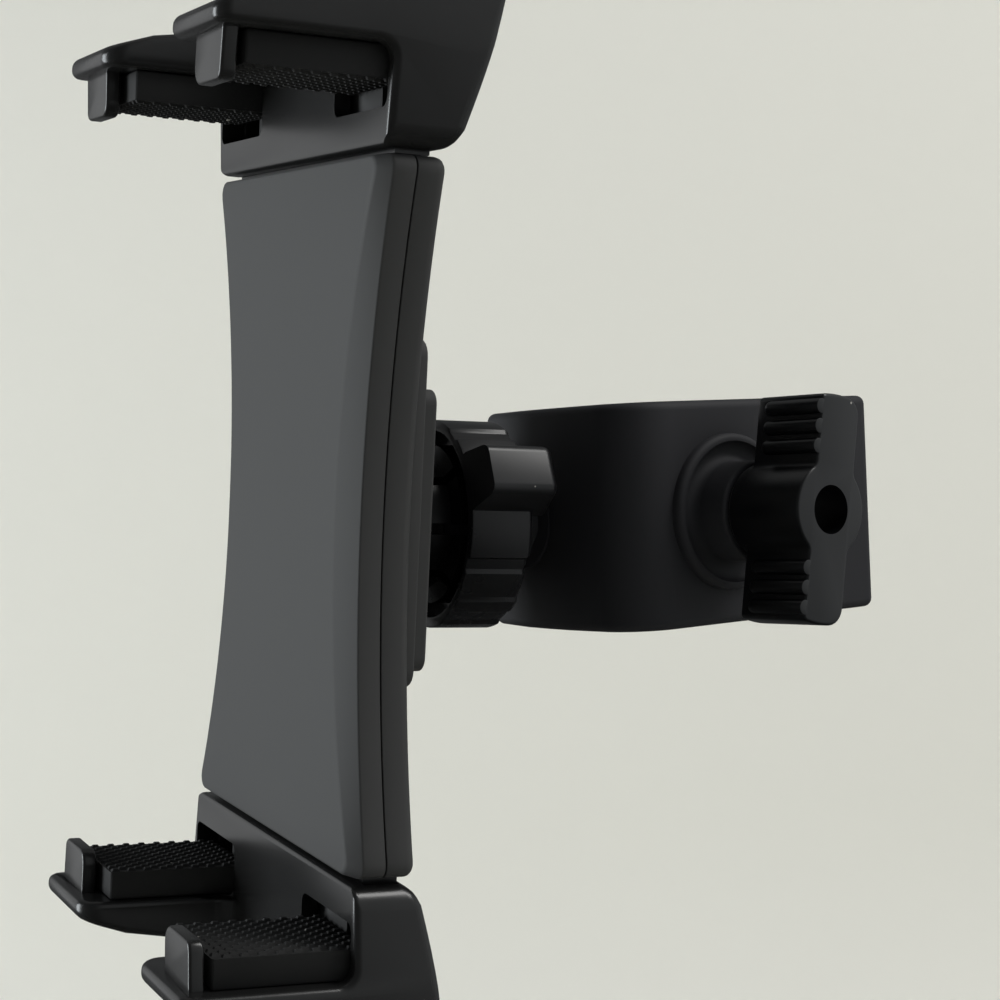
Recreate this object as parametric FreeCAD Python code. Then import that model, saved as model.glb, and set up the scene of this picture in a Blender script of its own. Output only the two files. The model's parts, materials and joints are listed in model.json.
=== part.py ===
import FreeCAD, Part
import math
import os

# Tablet holder on a pole clamp, in millimetres. The origin is on the axis of the gripped pole, half way up
# the clamp. +Z runs up the pole, the ball arm points along -Y and the clamp's knob along +X.

# Pole and clamp
pole_radius = 19.0
grip_gap = 0.05
pad_thickness = 1.5
pad_height = 28.0
pad_start_near = -59.0
pad_end_near = 18.0
pad_start_far = 162.0
pad_end_far = 228.0
clamp_height = 32.4
clamp_edge_round = 1.2
housing_gap = 1.0
jaw_outer_x = 30.5
jaw_end_y = 6.5
jaw_tip_round = 2.0
housing_left_x = -8.0
housing_corner_round = 8.0
housing_bow_y = -43.7
facet_y = -37.9
facet_end_x = 3.0
facet_end_y = -41.7
front_wall = 5.6
cavity_half_height = 9.0
cavity_end_x = 18.0
far_jaw_height = 29.0
far_shoulder_x = -20.5
far_shelf_y = -18.0
far_jaw_chamfer = 4.6
tongue_end_x = 4.4
slide_gap = 0.15

# Clamp screw, nut and knob
screw_y = -25.0
screw_radius = 3.0
screw_hole_gap = 0.1
screw_tip_x = -30.2
nut_flats = 10.0
nut_length = 5.0
nut_seat_x = -23.0
nut_gap = 0.1
boss_pad_radius = 11.2
boss_pad_height = 1.0
boss_radius = 8.2
boss_length = 6.0
washer_radius = 6.2
washer_thickness = 0.5
clip_radius = 3.9
clip_thickness = 0.8
knob_turned = -9.0
knob_hub_radius = 6.7
knob_length = 13.0
knob_wing_radius = 16.0
knob_wing_width = 7.6
knob_wing_length = 12.2
knob_hole_radius = 3.4
knob_hole_depth = 6.5
knob_rib_radius = 1.25
knob_rib_pitch = 2.75
knob_rib_first = 8.4
knob_rib_sink = 0.35
knob_rib_margin = 1.7
knob_ribs = 3
screw_head_length = 4.0
axial_gap = 0.05

# Ball stud, placed by its ball
ball_x = 4.7
ball_y = -53.7
ball_radius = 8.5
neck_radius = 4.1
neck_root_radius = 5.6
stud_boss_radius = 7.2
stud_boss_y = -42.9
spigot_radius = 4.5
spigot_length = 4.3
stud_screw_radius = 2.0
stud_screw_head = 3.8
stud_screw_depth = 9.0

# Socket on the ball, with distances along its axis counted from the ball's middle towards the pole
ball_gap = 0.06
liner_outer = 9.85
cavity_gap = 0.1
pad_polar_deg = 49.0
collet_back_deg = 75.0
collet_front_deg = 108.0
collet_slot_back = -0.6
collet_slots = 6
collet_slot_width = 1.2
post_radius = 9.3
collar_radius = 11.4
collar_back = -6.0
collar_front = 1.0
finger_front = 3.2
finger_radius = 10.6
socket_slots = 8
socket_slot_width = 1.6
socket_slot_back = -12.4
flange_radius = 13.6
flange_thickness = 1.1
ring_back = -5.2
ring_front = 4.2
ring_radius = 15.0
ring_skirt_wall = 1.3
ring_skirt_depth = 2.4
ring_mouth_radius = 8.7
ring_lip = 0.8
thread_gap = 0.08
ring_flutes = 16
ring_flute_depth = 0.45
ring_flute_width = 2.6
lobe_radius = 19.6
lobe_angle = 24.0
lobe_half_width = 4.2
lobe_back = -4.2
lobe_front = 6.2
lobe_round = 1.3
lobes = 2

# Cradle, as the tablet sees it: x across, y from the tablet face back to the pole, z up
rest_pan = -14.6
rest_tilt = -4.2
rest_roll = 4.4
ball_depth = 28.3
ball_drop = 2.5
body_half_height = 46.3
body_end_half = 34.0
body_waist_half = 27.2
face_end_inset = 0.3
face_end_half = 32.1
face_waist_half = 21.9
bevel_depth = 1.7
parting_depth = 4.9
body_depth = 8.5
front_wall_cradle = 2.2
side_wall = 1.8
rear_wall = 1.5
body_corner_round = 1.0
parting_groove = 0.2
plateau_half = 26.3
plateau_top = 23.6
plateau_bottom = -22.5
plateau_depth = 2.1
plateau_round = 2.5
plate_half = 25.0
plate_top = 17.0
plate_bottom = -20.5
plate_depth = 2.1
plate_round = 2.0
seat_gap = 0.05

# Slides and springs inside the cradle
slide_front = 3.3
slide_depth = 3.1
slide_clear = 0.35
upper_leg_inner = 17.0
upper_leg_outer = 24.4
slide_foot_inset = 11.5
upper_tab_inner = 10.9
tab_height = 4.0
lower_tongue_half = 8.5
lower_window_half = 3.1
slide_bar_half = 24.4
slide_bar_height = 9.0
bar_inset = 0.9
spring_radius = 1.9
spring_wire = 0.5
spring_turns = 20
upper_spring_x = 13.2
post_height = 3.0
post_inset = 5.5
spring_clear = 0.3
guide_rib_height = 0.8
guide_rib_width = 1.2

# Arms and fingers
arm_gap = 0.9
arm_front = 0.8
arm_length = 22.8
arm_half = 33.5
arm_rear_inner = 10.2
arm_rear_outer = 16.0
arm_wall = 2.2
arm_round = 1.6
finger_inner = 16.0
ledge_rise = 12.2
finger_tip = -23.6
finger_tip_thickness = 2.2
finger_root_thickness = 7.4
finger_round = 0.9
finger_corner_round = 2.0
finger_web = 3.0
lip_front = -21.0
lip_back = -18.8
lip_height = 6.2
lip_width = 12.6
lip_round = 1.0
pad_width = 16.0
pad_length = 19.3
pad_rise = 3.8
pad_tail = 2.1
pad_lip_gap = 0.5
slot_rise = 4.0
slot_margin = 0.35
arm_column_radius = 2.8
arm_screw_x = 11.5
arm_screw_radius = 1.2
arm_screw_head = 2.3
arm_screw_head_depth = 1.8
arm_screw_bite = 7.0

# Small screws
shell_screw_side_inset = 6.6
shell_screw_end_inset = 8.3
shell_boss_radius = 2.5
shell_screw_radius = 1.1
shell_screw_head = 2.0
shell_screw_head_depth = 1.2
shell_screw_length = 5.0
plate_screw_x = 20.0
plate_screw_z = 14.0
plate_screw_radius = 1.2
plate_screw_head = 2.4
plate_screw_head_depth = 1.4

os.makedirs("parts", exist_ok=True)

origin = FreeCAD.Vector(0, 0, 0)
along_x = FreeCAD.Vector(1, 0, 0)
along_y = FreeCAD.Vector(0, 1, 0)
along_z = FreeCAD.Vector(0, 0, 1)
ball_centre = FreeCAD.Vector(ball_x, ball_y, 0)


def vec(x, y, z):
    return FreeCAD.Vector(x, y, z)


def block(x0, x1, y0, y1, z0, z1):
    return Part.makeBox(x1 - x0, y1 - y0, z1 - z0, vec(x0, y0, z0))


def rod(radius, start, direction, length):
    return Part.makeCylinder(radius, length, start, direction)


def rod_x(radius, x0, x1, y, z):
    return rod(radius, vec(x0, y, z), along_x, x1 - x0)


def rod_y(radius, x, y0, y1, z):
    return rod(radius, vec(x, y0, z), along_y, y1 - y0)


def prism(points, push):
    """A solid between a closed outline of straight edges and its copy moved by push."""
    face = Part.Face(Part.makePolygon([vec(*p) for p in points + points[:1]]))
    return face.extrude(push)


def sector(radius, start_deg, end_deg, z0, z1):
    """A pie slice about the pole's axis."""
    slice_ = Part.makeCylinder(radius, z1 - z0, vec(0, 0, z0), along_z, end_deg - start_deg)
    slice_.rotate(origin, along_z, start_deg)
    return slice_


def hexagon(flats, start, length):
    """A hexagonal bar along X with two flats facing +Y and -Y."""
    reach = flats / 2 / math.cos(math.radians(30))
    corners = []
    for k in range(6):
        turn = math.radians(60 * k + 30)
        corners.append((start.x, start.y + reach * math.sin(turn + math.pi / 6), start.z
                        + reach * math.cos(turn + math.pi / 6)))
    turned = prism(corners, vec(length, 0, 0))
    turned.rotate(start, along_x, 30)
    return turned


def turned_profile(points, arcs=None):
    """A solid of revolution about the Y axis from an outline of (radius, y) points.

    arcs maps the index of a stretch to the point that it bows through.
    """
    arcs = arcs or {}
    edges = []
    count = len(points)
    for k in range(count):
        a = vec(points[k][0], points[k][1], 0)
        b = vec(points[(k + 1) % count][0], points[(k + 1) % count][1], 0)
        if k in arcs:
            middle = vec(arcs[k][0], arcs[k][1], 0)
            edges.append(Part.Arc(a, middle, b).toShape())
        else:
            edges.append(Part.makeLine(a, b))
    face = Part.Face(Part.Wire(edges))
    return face.revolve(origin, along_y, 360)


def rounded(shape, radius, wanted):
    """The shape with the edges that wanted() picks rounded."""
    edges = [e for e in shape.Edges if wanted(e)]
    return shape.makeFillet(radius, edges)


def near(value, target, tolerance=0.01):
    return abs(value - target) < tolerance


def span(edge, axis):
    box = edge.BoundBox
    return {"x": (box.XMin, box.XMax), "y": (box.YMin, box.YMax), "z": (box.ZMin, box.ZMax)}[axis]


def flat_at(edge, axis, value):
    low, high = span(edge, axis)
    return near(low, value) and near(high, value)


def runs_along(edge, axis):
    """Whether a straight edge runs along the named axis."""
    lengths = {a: span(edge, a)[1] - span(edge, a)[0] for a in "xyz"}
    return lengths[axis] > 0.2 and all(lengths[a] < 0.01 for a in "xyz" if a != axis)


# Clamp

seat_radius = pole_radius + grip_gap + pad_thickness
housing_radius = pole_radius + housing_gap
half_height = clamp_height / 2
pad_half = pad_height / 2
cavity_front_y = housing_bow_y + front_wall + 1.7
cavity_back_y = -housing_radius - 0.9
boss_end_x = jaw_outer_x + boss_length
knob_start_x = boss_end_x + washer_thickness + 2 * axial_gap
knob_end_x = knob_start_x + knob_length


def clamp_body():
    """The fixed jaw with the housing that carries the ball stud and the screw's boss."""
    corner = vec(jaw_outer_x - housing_corner_round, housing_bow_y + housing_corner_round, 0)
    diagonal = housing_corner_round / math.sqrt(2)
    inner_end_x = math.sqrt(seat_radius ** 2 - jaw_end_y ** 2) + 0.6
    a = vec(inner_end_x, jaw_end_y, 0)
    b = vec(jaw_outer_x - jaw_tip_round, jaw_end_y, 0)
    c = vec(jaw_outer_x, jaw_end_y - jaw_tip_round, 0)
    d = vec(jaw_outer_x, corner.y, 0)
    e = vec(corner.x, housing_bow_y, 0)
    f = vec(facet_end_x, facet_end_y, 0)
    g = vec(housing_left_x, facet_y, 0)
    h = vec(housing_left_x, -math.sqrt(housing_radius ** 2 - housing_left_x ** 2), 0)
    i_angle = math.acos(inner_end_x / housing_radius) if inner_end_x < housing_radius else 0
    i = vec(housing_radius * math.cos(i_angle), housing_radius * math.sin(i_angle), 0)
    tip_diagonal = jaw_tip_round / math.sqrt(2)
    tip_middle = vec(b.x + tip_diagonal, c.y + tip_diagonal, 0)
    bow_middle = vec((e.x + f.x) / 2, (e.y + f.y) / 2 - 0.55, 0)
    edges = [
        Part.makeLine(a, b),
        Part.Arc(b, tip_middle, c).toShape(),
        Part.makeLine(c, d),
        Part.Arc(d, vec(corner.x + diagonal, corner.y - diagonal, 0), e).toShape(),
        Part.Arc(e, bow_middle, f).toShape(),
        Part.makeLine(f, g),
        Part.makeLine(g, h),
        Part.Arc(h, vec(0, -housing_radius, 0), i).toShape(),
        Part.makeLine(i, a),
    ]
    outline = Part.Face(Part.Wire(edges))
    outline.translate(vec(0, 0, -half_height))
    body = outline.extrude(vec(0, 0, clamp_height))
    rims = lambda edge: near(abs(edge.BoundBox.ZMin), half_height) and near(edge.BoundBox.ZLength, 0) and (
        edge.BoundBox.XMax > housing_radius + 0.5 or edge.BoundBox.YMin < facet_y + 0.01)
    body = rounded(body, clamp_edge_round, rims)
    seat = sector(seat_radius, pad_start_near, pad_end_near, -pad_half - grip_gap, pad_half + grip_gap)
    body = body.cut(seat)
    cavity = block(housing_left_x - 1, cavity_end_x, cavity_front_y, cavity_back_y,
                   -cavity_half_height, cavity_half_height)
    body = body.cut(cavity)
    disc = rod_x(boss_pad_radius, jaw_outer_x - 1, jaw_outer_x + boss_pad_height, screw_y, 0)
    boss = rod_x(boss_radius, jaw_outer_x - 1, boss_end_x, screw_y, 0)
    boss = rounded(boss, 0.8, lambda edge: flat_at(edge, "x", boss_end_x))
    disc = rounded(disc, 0.7, lambda edge: flat_at(edge, "x", jaw_outer_x + boss_pad_height))
    body = body.fuse(disc).fuse(boss)
    body = rounded(body, 1.8, lambda edge: flat_at(edge, "x", jaw_outer_x + boss_pad_height)
                   and near(edge.BoundBox.ZLength, 2 * boss_radius, 0.05))
    hole = rod_x(screw_radius + screw_hole_gap, cavity_end_x - 1, boss_end_x + 1, screw_y, 0)
    body = body.cut(hole)
    body = body.cut(rod_y(stud_boss_radius, ball_x, housing_bow_y - 1, stud_boss_y, 0))
    stud_boss = rod_y(stud_boss_radius, ball_x, stud_boss_y, cavity_front_y - 1, 0)
    stud_boss = rounded(stud_boss, 0.6, lambda edge: flat_at(edge, "y", stud_boss_y))
    body = body.fuse(stud_boss)
    spigot_hole = rod_y(spigot_radius + seat_gap, ball_x, stud_boss_y - 1, stud_boss_y + spigot_length + seat_gap, 0)
    screw_way = rod_y(stud_screw_radius + seat_gap, ball_x, stud_boss_y, cavity_front_y + 1, 0)
    head_way = Part.makeCone(stud_screw_radius + seat_gap, stud_screw_head + seat_gap, head_cone_length(),
                             vec(ball_x, cavity_front_y - head_cone_length(), 0), along_y)
    return body.cut(spigot_hole).cut(screw_way).cut(head_way).removeSplitter()


def head_cone_length():
    return stud_screw_head - stud_screw_radius


def jaw_pad(start_deg, end_deg):
    """A rubber arc in a jaw's seat."""
    inset = 0.3
    outer = sector(seat_radius - grip_gap, start_deg + inset, end_deg - inset, -pad_half, pad_half)
    return outer.cut(Part.makeCylinder(pole_radius + grip_gap, pad_height + 2, vec(0, 0, -pad_half - 1)))


def sliding_jaw():
    """The far jaw with the tongue that slides in the housing, around the screw."""
    half = far_jaw_height / 2
    inner_end_x = -math.sqrt(seat_radius ** 2 - jaw_end_y ** 2) - 0.6
    outline = [
        (far_shoulder_x, cavity_front_y + slide_gap, -half),
        (-jaw_outer_x + far_jaw_chamfer, cavity_front_y + slide_gap, -half),
        (-jaw_outer_x, cavity_front_y + slide_gap + far_jaw_chamfer, -half),
        (-jaw_outer_x, jaw_end_y - jaw_tip_round, -half),
        (-jaw_outer_x + jaw_tip_round, jaw_end_y, -half),
        (inner_end_x, jaw_end_y, -half),
        (0, jaw_end_y, -half),
        (0, far_shelf_y, -half),
        (far_shoulder_x, far_shelf_y, -half),
    ]
    jaw = prism(outline, vec(0, 0, far_jaw_height))
    jaw = jaw.cut(Part.makeCylinder(housing_radius, far_jaw_height + 2, vec(0, 0, -half - 1)))
    jaw = jaw.cut(block(inner_end_x, 0, 0, jaw_end_y + 1, -half - 1, half + 1))
    keep_end = math.radians(pad_end_far)
    wedge_x = housing_radius * math.cos(keep_end) + 0.5
    jaw = jaw.cut(block(wedge_x, 0, far_shelf_y - 1, 0, -half - 1, half + 1))
    jaw = rounded(jaw, 1.0, lambda edge: near(abs(edge.BoundBox.ZMin), half) and near(edge.BoundBox.ZLength, 0)
                  and edge.BoundBox.XMax < far_shoulder_x - 1.0)
    jaw = jaw.cut(sector(seat_radius, pad_start_far, pad_end_far, -pad_half - grip_gap, pad_half + grip_gap))
    tongue = block(far_shoulder_x - 1, tongue_end_x, cavity_front_y + slide_gap, cavity_back_y - slide_gap,
                   -cavity_half_height + slide_gap, cavity_half_height - slide_gap)
    jaw = jaw.fuse(tongue)
    hole = rod_x(screw_radius + screw_hole_gap, -jaw_outer_x - 1, tongue_end_x + 1, screw_y, 0)
    pocket = hexagon(nut_flats + 2 * nut_gap, vec(-jaw_outer_x - 1, screw_y, 0), nut_seat_x + jaw_outer_x + 1)
    return jaw.cut(hole).cut(pocket).removeSplitter()


def captive_nut():
    nut = hexagon(nut_flats, vec(nut_seat_x - nut_length, screw_y, 0), nut_length)
    return nut.cut(rod_x(screw_radius + grip_gap, nut_seat_x - nut_length - 1, nut_seat_x + 1, screw_y, 0))


def clamp_screw():
    """The screw, with its hexagonal head held in the knob and a groove for the clip."""
    head_start = knob_end_x - knob_hole_depth - screw_head_length
    shank = rod_x(screw_radius, screw_tip_x, head_start + 0.5, screw_y, 0)
    shank = shank.makeChamfer(0.5, [e for e in shank.Edges if flat_at(e, "x", screw_tip_x)])
    head = hexagon(nut_flats, vec(head_start, screw_y, 0), screw_head_length)
    screw = shank.fuse(head)
    groove_x = cavity_end_x - axial_gap - clip_thickness
    ring = rod_x(screw_radius + 1, groove_x - axial_gap, groove_x + clip_thickness + axial_gap, screw_y, 0)
    core = rod_x(screw_radius - 0.5, groove_x - 1, groove_x + clip_thickness + 1, screw_y, 0)
    return screw.cut(ring.cut(core)).removeSplitter()


def retaining_clip():
    """The open ring that keeps the screw in the fixed jaw."""
    x0 = cavity_end_x - axial_gap - clip_thickness
    clip = rod_x(clip_radius, x0, x0 + clip_thickness, screw_y, 0)
    clip = clip.cut(rod_x(screw_radius - 0.5 + grip_gap, x0 - 1, x0 + 2, screw_y, 0))
    return clip.cut(block(x0 - 1, x0 + 2, screw_y - 1.2, screw_y + 1.2, -clip_radius - 1, 0))


def thrust_washer():
    x0 = boss_end_x + axial_gap
    washer = rod_x(washer_radius, x0, x0 + washer_thickness, screw_y, 0)
    return washer.cut(rod_x(screw_radius + 2 * grip_gap, x0 - 1, x0 + 2, screw_y, 0))


def t_knob():
    """The two-winged knob, built upright and then turned to its rest angle."""
    hub = rod_x(knob_hub_radius, knob_start_x, knob_end_x, 0, 0)
    wing_x = knob_end_x - knob_wing_length
    half = knob_wing_width / 2
    wing = block(wing_x, knob_end_x, -half, half, -knob_wing_radius - 1, knob_wing_radius + 1)
    for side in (-1, 1):
        for end in (-1, 1):
            for k in range(knob_ribs):
                z = end * (knob_rib_first + knob_rib_pitch * k)
                y = side * (half - knob_rib_sink)
                rib = rod_x(knob_rib_radius, wing_x + knob_rib_margin, knob_end_x, y, z)
                nose = Part.makeSphere(knob_rib_radius, vec(wing_x + knob_rib_margin, y, z))
                wing = wing.fuse(rib).fuse(nose)
    wing = wing.common(rod_x(knob_wing_radius, wing_x, knob_end_x, 0, 0))
    knob = hub.fuse(wing).removeSplitter()
    hole = rod_x(knob_hole_radius, knob_end_x - knob_hole_depth, knob_end_x + 1, 0, 0)
    knob = knob.cut(hole)
    head = hexagon(nut_flats, vec(knob_end_x - knob_hole_depth - screw_head_length, 0, 0), screw_head_length)
    shank = rod_x(screw_radius, knob_start_x - 1, knob_end_x - knob_hole_depth - 1, 0, 0)
    knob = knob.cut(head).cut(shank)
    knob.rotate(origin, along_x, knob_turned)
    knob.translate(vec(0, screw_y, 0))
    return knob


def turned_screw():
    """The clamp screw at the knob's rest angle."""
    screw = clamp_screw()
    screw.rotate(vec(0, screw_y, 0), along_x, knob_turned)
    return screw


def ball_stud():
    root_y = stud_boss_y - ball_y
    flare_start = root_y - 3.2
    neck_y = math.sqrt(ball_radius ** 2 - neck_radius ** 2)
    points = [
        (0, -ball_radius),
        (neck_radius, neck_y),
        (neck_radius, flare_start),
        (neck_root_radius, root_y),
        (spigot_radius, root_y),
        (spigot_radius, root_y + spigot_length),
        (0, root_y + spigot_length),
    ]
    arcs = {
        0: (ball_radius, 0),
        2: (neck_radius + 0.45, flare_start + 2.0),
    }
    stud = turned_profile(points, arcs)
    stud = stud.cut(rod_y(stud_screw_radius, 0, root_y + spigot_length - stud_screw_depth,
                          root_y + spigot_length + 1, 0))
    stud.translate(ball_centre)
    return stud


def ball_stud_screw():
    """The countersunk screw that draws the stud's spigot into the housing."""
    tip_y = stud_boss_y + spigot_length - stud_screw_depth
    shank = rod_y(stud_screw_radius, ball_x, tip_y, cavity_front_y - head_cone_length() + 0.01, 0)
    head = Part.makeCone(stud_screw_radius, stud_screw_head, head_cone_length(),
                         vec(ball_x, cavity_front_y - head_cone_length(), 0), along_y)
    cross = block(ball_x - 0.4, ball_x + 0.4, cavity_front_y - 1.0, cavity_front_y + 1, -1.8, 1.8)
    cross = cross.fuse(block(ball_x - 1.8, ball_x + 1.8, cavity_front_y - 1.0, cavity_front_y + 1, -0.4, 0.4))
    return shank.fuse(head).cut(cross).removeSplitter()


# Socket pieces, built about the ball with +Y towards the pole

collet_front_y = -liner_outer * math.cos(math.radians(collet_front_deg))


def liner_shell(back_deg, front_deg):
    """A round shell about the ball between two angles from -Y, as a solid of revolution."""
    inner = ball_radius + ball_gap

    def on(radius, degrees):
        turn = math.radians(degrees)
        return (radius * math.sin(turn), -radius * math.cos(turn))

    middle_deg = (back_deg + front_deg) / 2
    points = [on(inner, back_deg), on(inner, front_deg), on(liner_outer, front_deg), on(liner_outer, back_deg)]
    return turned_profile(points, {0: on(inner, middle_deg), 2: on(liner_outer, middle_deg)})


def pressure_pad():
    """The rubber cup behind the ball."""
    return liner_shell(0, pad_polar_deg)


def friction_collet():
    """The slotted ring that the lock ring squeezes onto the ball."""
    ring = liner_shell(collet_back_deg, collet_front_deg)
    for k in range(collet_slots):
        slot = block(ball_radius - 2, liner_outer + 1, collet_slot_back, collet_front_y + 1,
                     -collet_slot_width / 2, collet_slot_width / 2)
        slot.rotate(origin, along_y, 360.0 * k / collet_slots)
        ring = ring.cut(slot)
    return ring


def socket():
    """The post with its flange, threaded collar and slotted fingers."""
    flange_back = plate_front_y() + seat_gap
    points = [
        (0, flange_back),
        (flange_radius, flange_back),
        (flange_radius, flange_back + flange_thickness),
        (post_radius, flange_back + flange_thickness),
        (post_radius, collar_back),
        (collar_radius, collar_back + 0.8),
        (collar_radius, collar_front),
        (finger_radius, finger_front),
        (0, finger_front),
    ]
    body = turned_profile(points)
    body = body.cut(Part.makeSphere(liner_outer + cavity_gap))
    mouth = math.sqrt((liner_outer + cavity_gap) ** 2 - collet_front_y ** 2)
    body = body.cut(rod_y(mouth, 0, 1.0, finger_front + 1, 0))
    for k in range(socket_slots):
        slot = block(post_radius - 2.2, collar_radius + 1, socket_slot_back, finger_front + 1,
                     -socket_slot_width / 2, socket_slot_width / 2)
        slot.rotate(origin, along_y, 360.0 * k / socket_slots)
        body = body.cut(slot)
    key = block(-flange_radius - 1.6, flange_radius + 1.6, flange_back, flange_back + flange_thickness, -2, 2)
    bore = rod_y(post_radius - 3, 0, flange_back - 1, flange_back + flange_thickness + 1, 0)
    return body.fuse(key.cut(bore)).removeSplitter()


def lock_ring():
    """The two-lobed nut that closes the fingers on the ball."""
    thread = collar_radius + thread_gap
    skirt_inner = ring_radius - ring_skirt_wall
    points = [
        (skirt_inner, ring_back),
        (ring_radius - 0.4, ring_back),
        (ring_radius, ring_back + 0.4),
        (ring_radius, ring_front - 0.8),
        (ring_radius - 0.8, ring_front),
        (ring_mouth_radius, ring_front),
        (ring_mouth_radius, ring_front - ring_lip),
        (finger_radius + thread_gap, finger_front + thread_gap),
        (thread, collar_front),
        (thread, ring_back + ring_skirt_depth),
        (skirt_inner - 0.6, ring_back + ring_skirt_depth),
    ]
    ring = turned_profile(points)
    for k in range(ring_flutes):
        flute = block(ring_radius - ring_flute_depth, ring_radius + 1, ring_back + 1.0, ring_front - 1.2,
                      -ring_flute_width / 2, ring_flute_width / 2)
        flute.rotate(origin, along_y, 360.0 * (k + 0.5) / ring_flutes - lobe_angle)
        ring = ring.cut(flute)
    for k in range(lobes):
        lobe = block(ring_radius - 1.5, lobe_radius, lobe_back, lobe_front, -lobe_half_width, lobe_half_width)
        lobe = rounded(lobe, lobe_round, lambda edge: edge.BoundBox.XMin > lobe_radius - 0.01
                       or (runs_along(edge, "x") and edge.BoundBox.YMax > lobe_front - 0.01))
        lobe.rotate(origin, along_y, 360.0 * k / lobes - lobe_angle)
        ring = ring.fuse(lobe)
    return ring.removeSplitter()


# Cradle pieces, built with the tablet face at y = 0 and the body's middle at x = z = 0

arm_start = body_half_height + arm_gap
arm_end_height = arm_start + arm_length
finger_ledge = arm_start + ledge_rise
bar_top = finger_ledge - bar_inset
face_half_height = body_half_height - face_end_inset


def plate_front_y():
    """Where the mounting plate starts, counted from the ball."""
    return body_depth + plateau_depth - ball_depth


def waisted(end_half, waist_half, half_z, y):
    """A closed outline with straight ends, sides that bow in to a waist, and round corners.

    Each side is an arc about (side_x, 0), and each corner an arc that touches it and the end.
    """
    radius = body_corner_round
    side_x = (end_half ** 2 + half_z ** 2 - waist_half ** 2) / (2 * (end_half - waist_half))
    side_radius = side_x - waist_half
    round_z = half_z - radius
    round_x = side_x - math.sqrt((side_radius + radius) ** 2 - round_z ** 2)
    lean = math.atan2(round_z, side_x - round_x)
    touch = (side_x - side_radius * math.cos(lean), side_radius * math.sin(lean))
    half_turn = (math.pi / 2 - lean) / 2
    middle = (round_x + radius * math.sin(half_turn), round_z + radius * math.cos(half_turn))

    def corner(sx, sz):
        return [vec(sx * round_x, y, sz * half_z), vec(sx * middle[0], y, sz * middle[1]),
                vec(sx * touch[0], y, sz * touch[1])]

    def arc(a, b, c):
        return Part.Arc(a, b, c).toShape()

    left_top, right_top = corner(-1, 1), corner(1, 1)
    left_low, right_low = corner(-1, -1), corner(1, -1)
    return Part.Wire([
        Part.makeLine(left_top[0], right_top[0]),
        arc(*right_top),
        arc(right_top[2], vec(waist_half, y, 0), right_low[2]),
        arc(*reversed(right_low)),
        Part.makeLine(right_low[0], left_low[0]),
        arc(*left_low),
        arc(left_low[2], vec(-waist_half, y, 0), left_top[2]),
        arc(*reversed(left_top)),
    ])


def waisted_block(inset, y0, y1):
    wire = waisted(body_end_half - inset, body_waist_half - inset, body_half_height - inset, y0)
    return Part.Face(wire).extrude(vec(0, y1 - y0, 0))


def guide_ribs():
    """Low rails on the front shell that the slides run on."""
    rails = []
    y1 = front_wall_cradle + guide_rib_height
    reach = body_half_height - side_wall
    for x in (-upper_leg_outer + 1.5, -upper_leg_inner - 1.5, -lower_tongue_half + 1.5,
              lower_tongue_half - 1.5, upper_leg_inner + 1.5, upper_leg_outer - 1.5):
        rails.append(block(x - guide_rib_width / 2, x + guide_rib_width / 2, front_wall_cradle - 0.5, y1,
                           -reach, reach))
    return rails


def upper_window():
    """The slots in the top wall that the upper slide's legs pass."""
    gaps = []
    for side in (-1, 1):
        x0, x1 = sorted((side * (upper_leg_inner - slide_clear), side * (upper_leg_outer + slide_clear)))
        gaps.append(block(x0, x1, slide_front - slide_clear, slide_front + slide_depth + slide_clear,
                          body_half_height - side_wall - 1, body_half_height + 1))
    return gaps


def lower_window():
    half = lower_tongue_half + slide_clear
    return block(-half, half, slide_front - slide_clear, slide_front + slide_depth + slide_clear,
                 -body_half_height - 1, -body_half_height + side_wall + 1)


def shell_screw_places():
    far_x = body_end_half - shell_screw_side_inset
    far_z = body_half_height - shell_screw_end_inset
    return [(x, z) for x in (-far_x, far_x) for z in (-far_z, far_z)]


def plate_screw_places():
    middle = (plate_top + plate_bottom) / 2
    return [(x, middle + z) for x in (-plate_screw_x, plate_screw_x) for z in (-plate_screw_z, plate_screw_z)]


def front_shell():
    face = waisted(face_end_half, face_waist_half, face_half_height, 0)
    rim = waisted(body_end_half, body_waist_half, body_half_height, bevel_depth)
    shell = Part.makeLoft([face, rim], True, True)
    shell = shell.fuse(waisted_block(0, bevel_depth, parting_depth)).removeSplitter()
    shell = shell.cut(waisted_block(side_wall, front_wall_cradle, parting_depth + 1))
    for rail in guide_ribs():
        shell = shell.fuse(rail)
    for x, z in shell_screw_places():
        shell = shell.fuse(rod_y(shell_boss_radius, x, front_wall_cradle - 0.5, parting_depth, z))
        shell = shell.cut(rod_y(shell_screw_radius, x, front_wall_cradle, parting_depth + 1, z))
    for post in spring_posts():
        shell = shell.fuse(post)
    for gap in upper_window() + [lower_window()]:
        shell = shell.cut(gap)
    shell = shell.cut(parting_notch(parting_depth - parting_groove, parting_depth))
    return shell.removeSplitter()


def parting_notch(y0, y1):
    """The fine groove where the two shells meet."""
    outer = waisted_block(-2, y0, y1)
    return outer.cut(waisted_block(parting_groove, y0 - 1, y1 + 1))


def spring_posts():
    """The stops on the front shell that the springs push against."""
    y0 = front_wall_cradle - 0.5
    y1 = slide_front + slide_depth
    top = body_half_height - post_inset
    posts = []
    for side in (-1, 1):
        x0, x1 = sorted((side * (upper_tab_inner), side * (upper_leg_inner - slide_clear - 0.5)))
        posts.append(block(x0, x1, y0, y1, top - post_height, top))
    half = lower_window_half - slide_clear
    posts.append(block(-half, half, y0, y1, -top, -top + post_height))
    return posts


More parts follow.
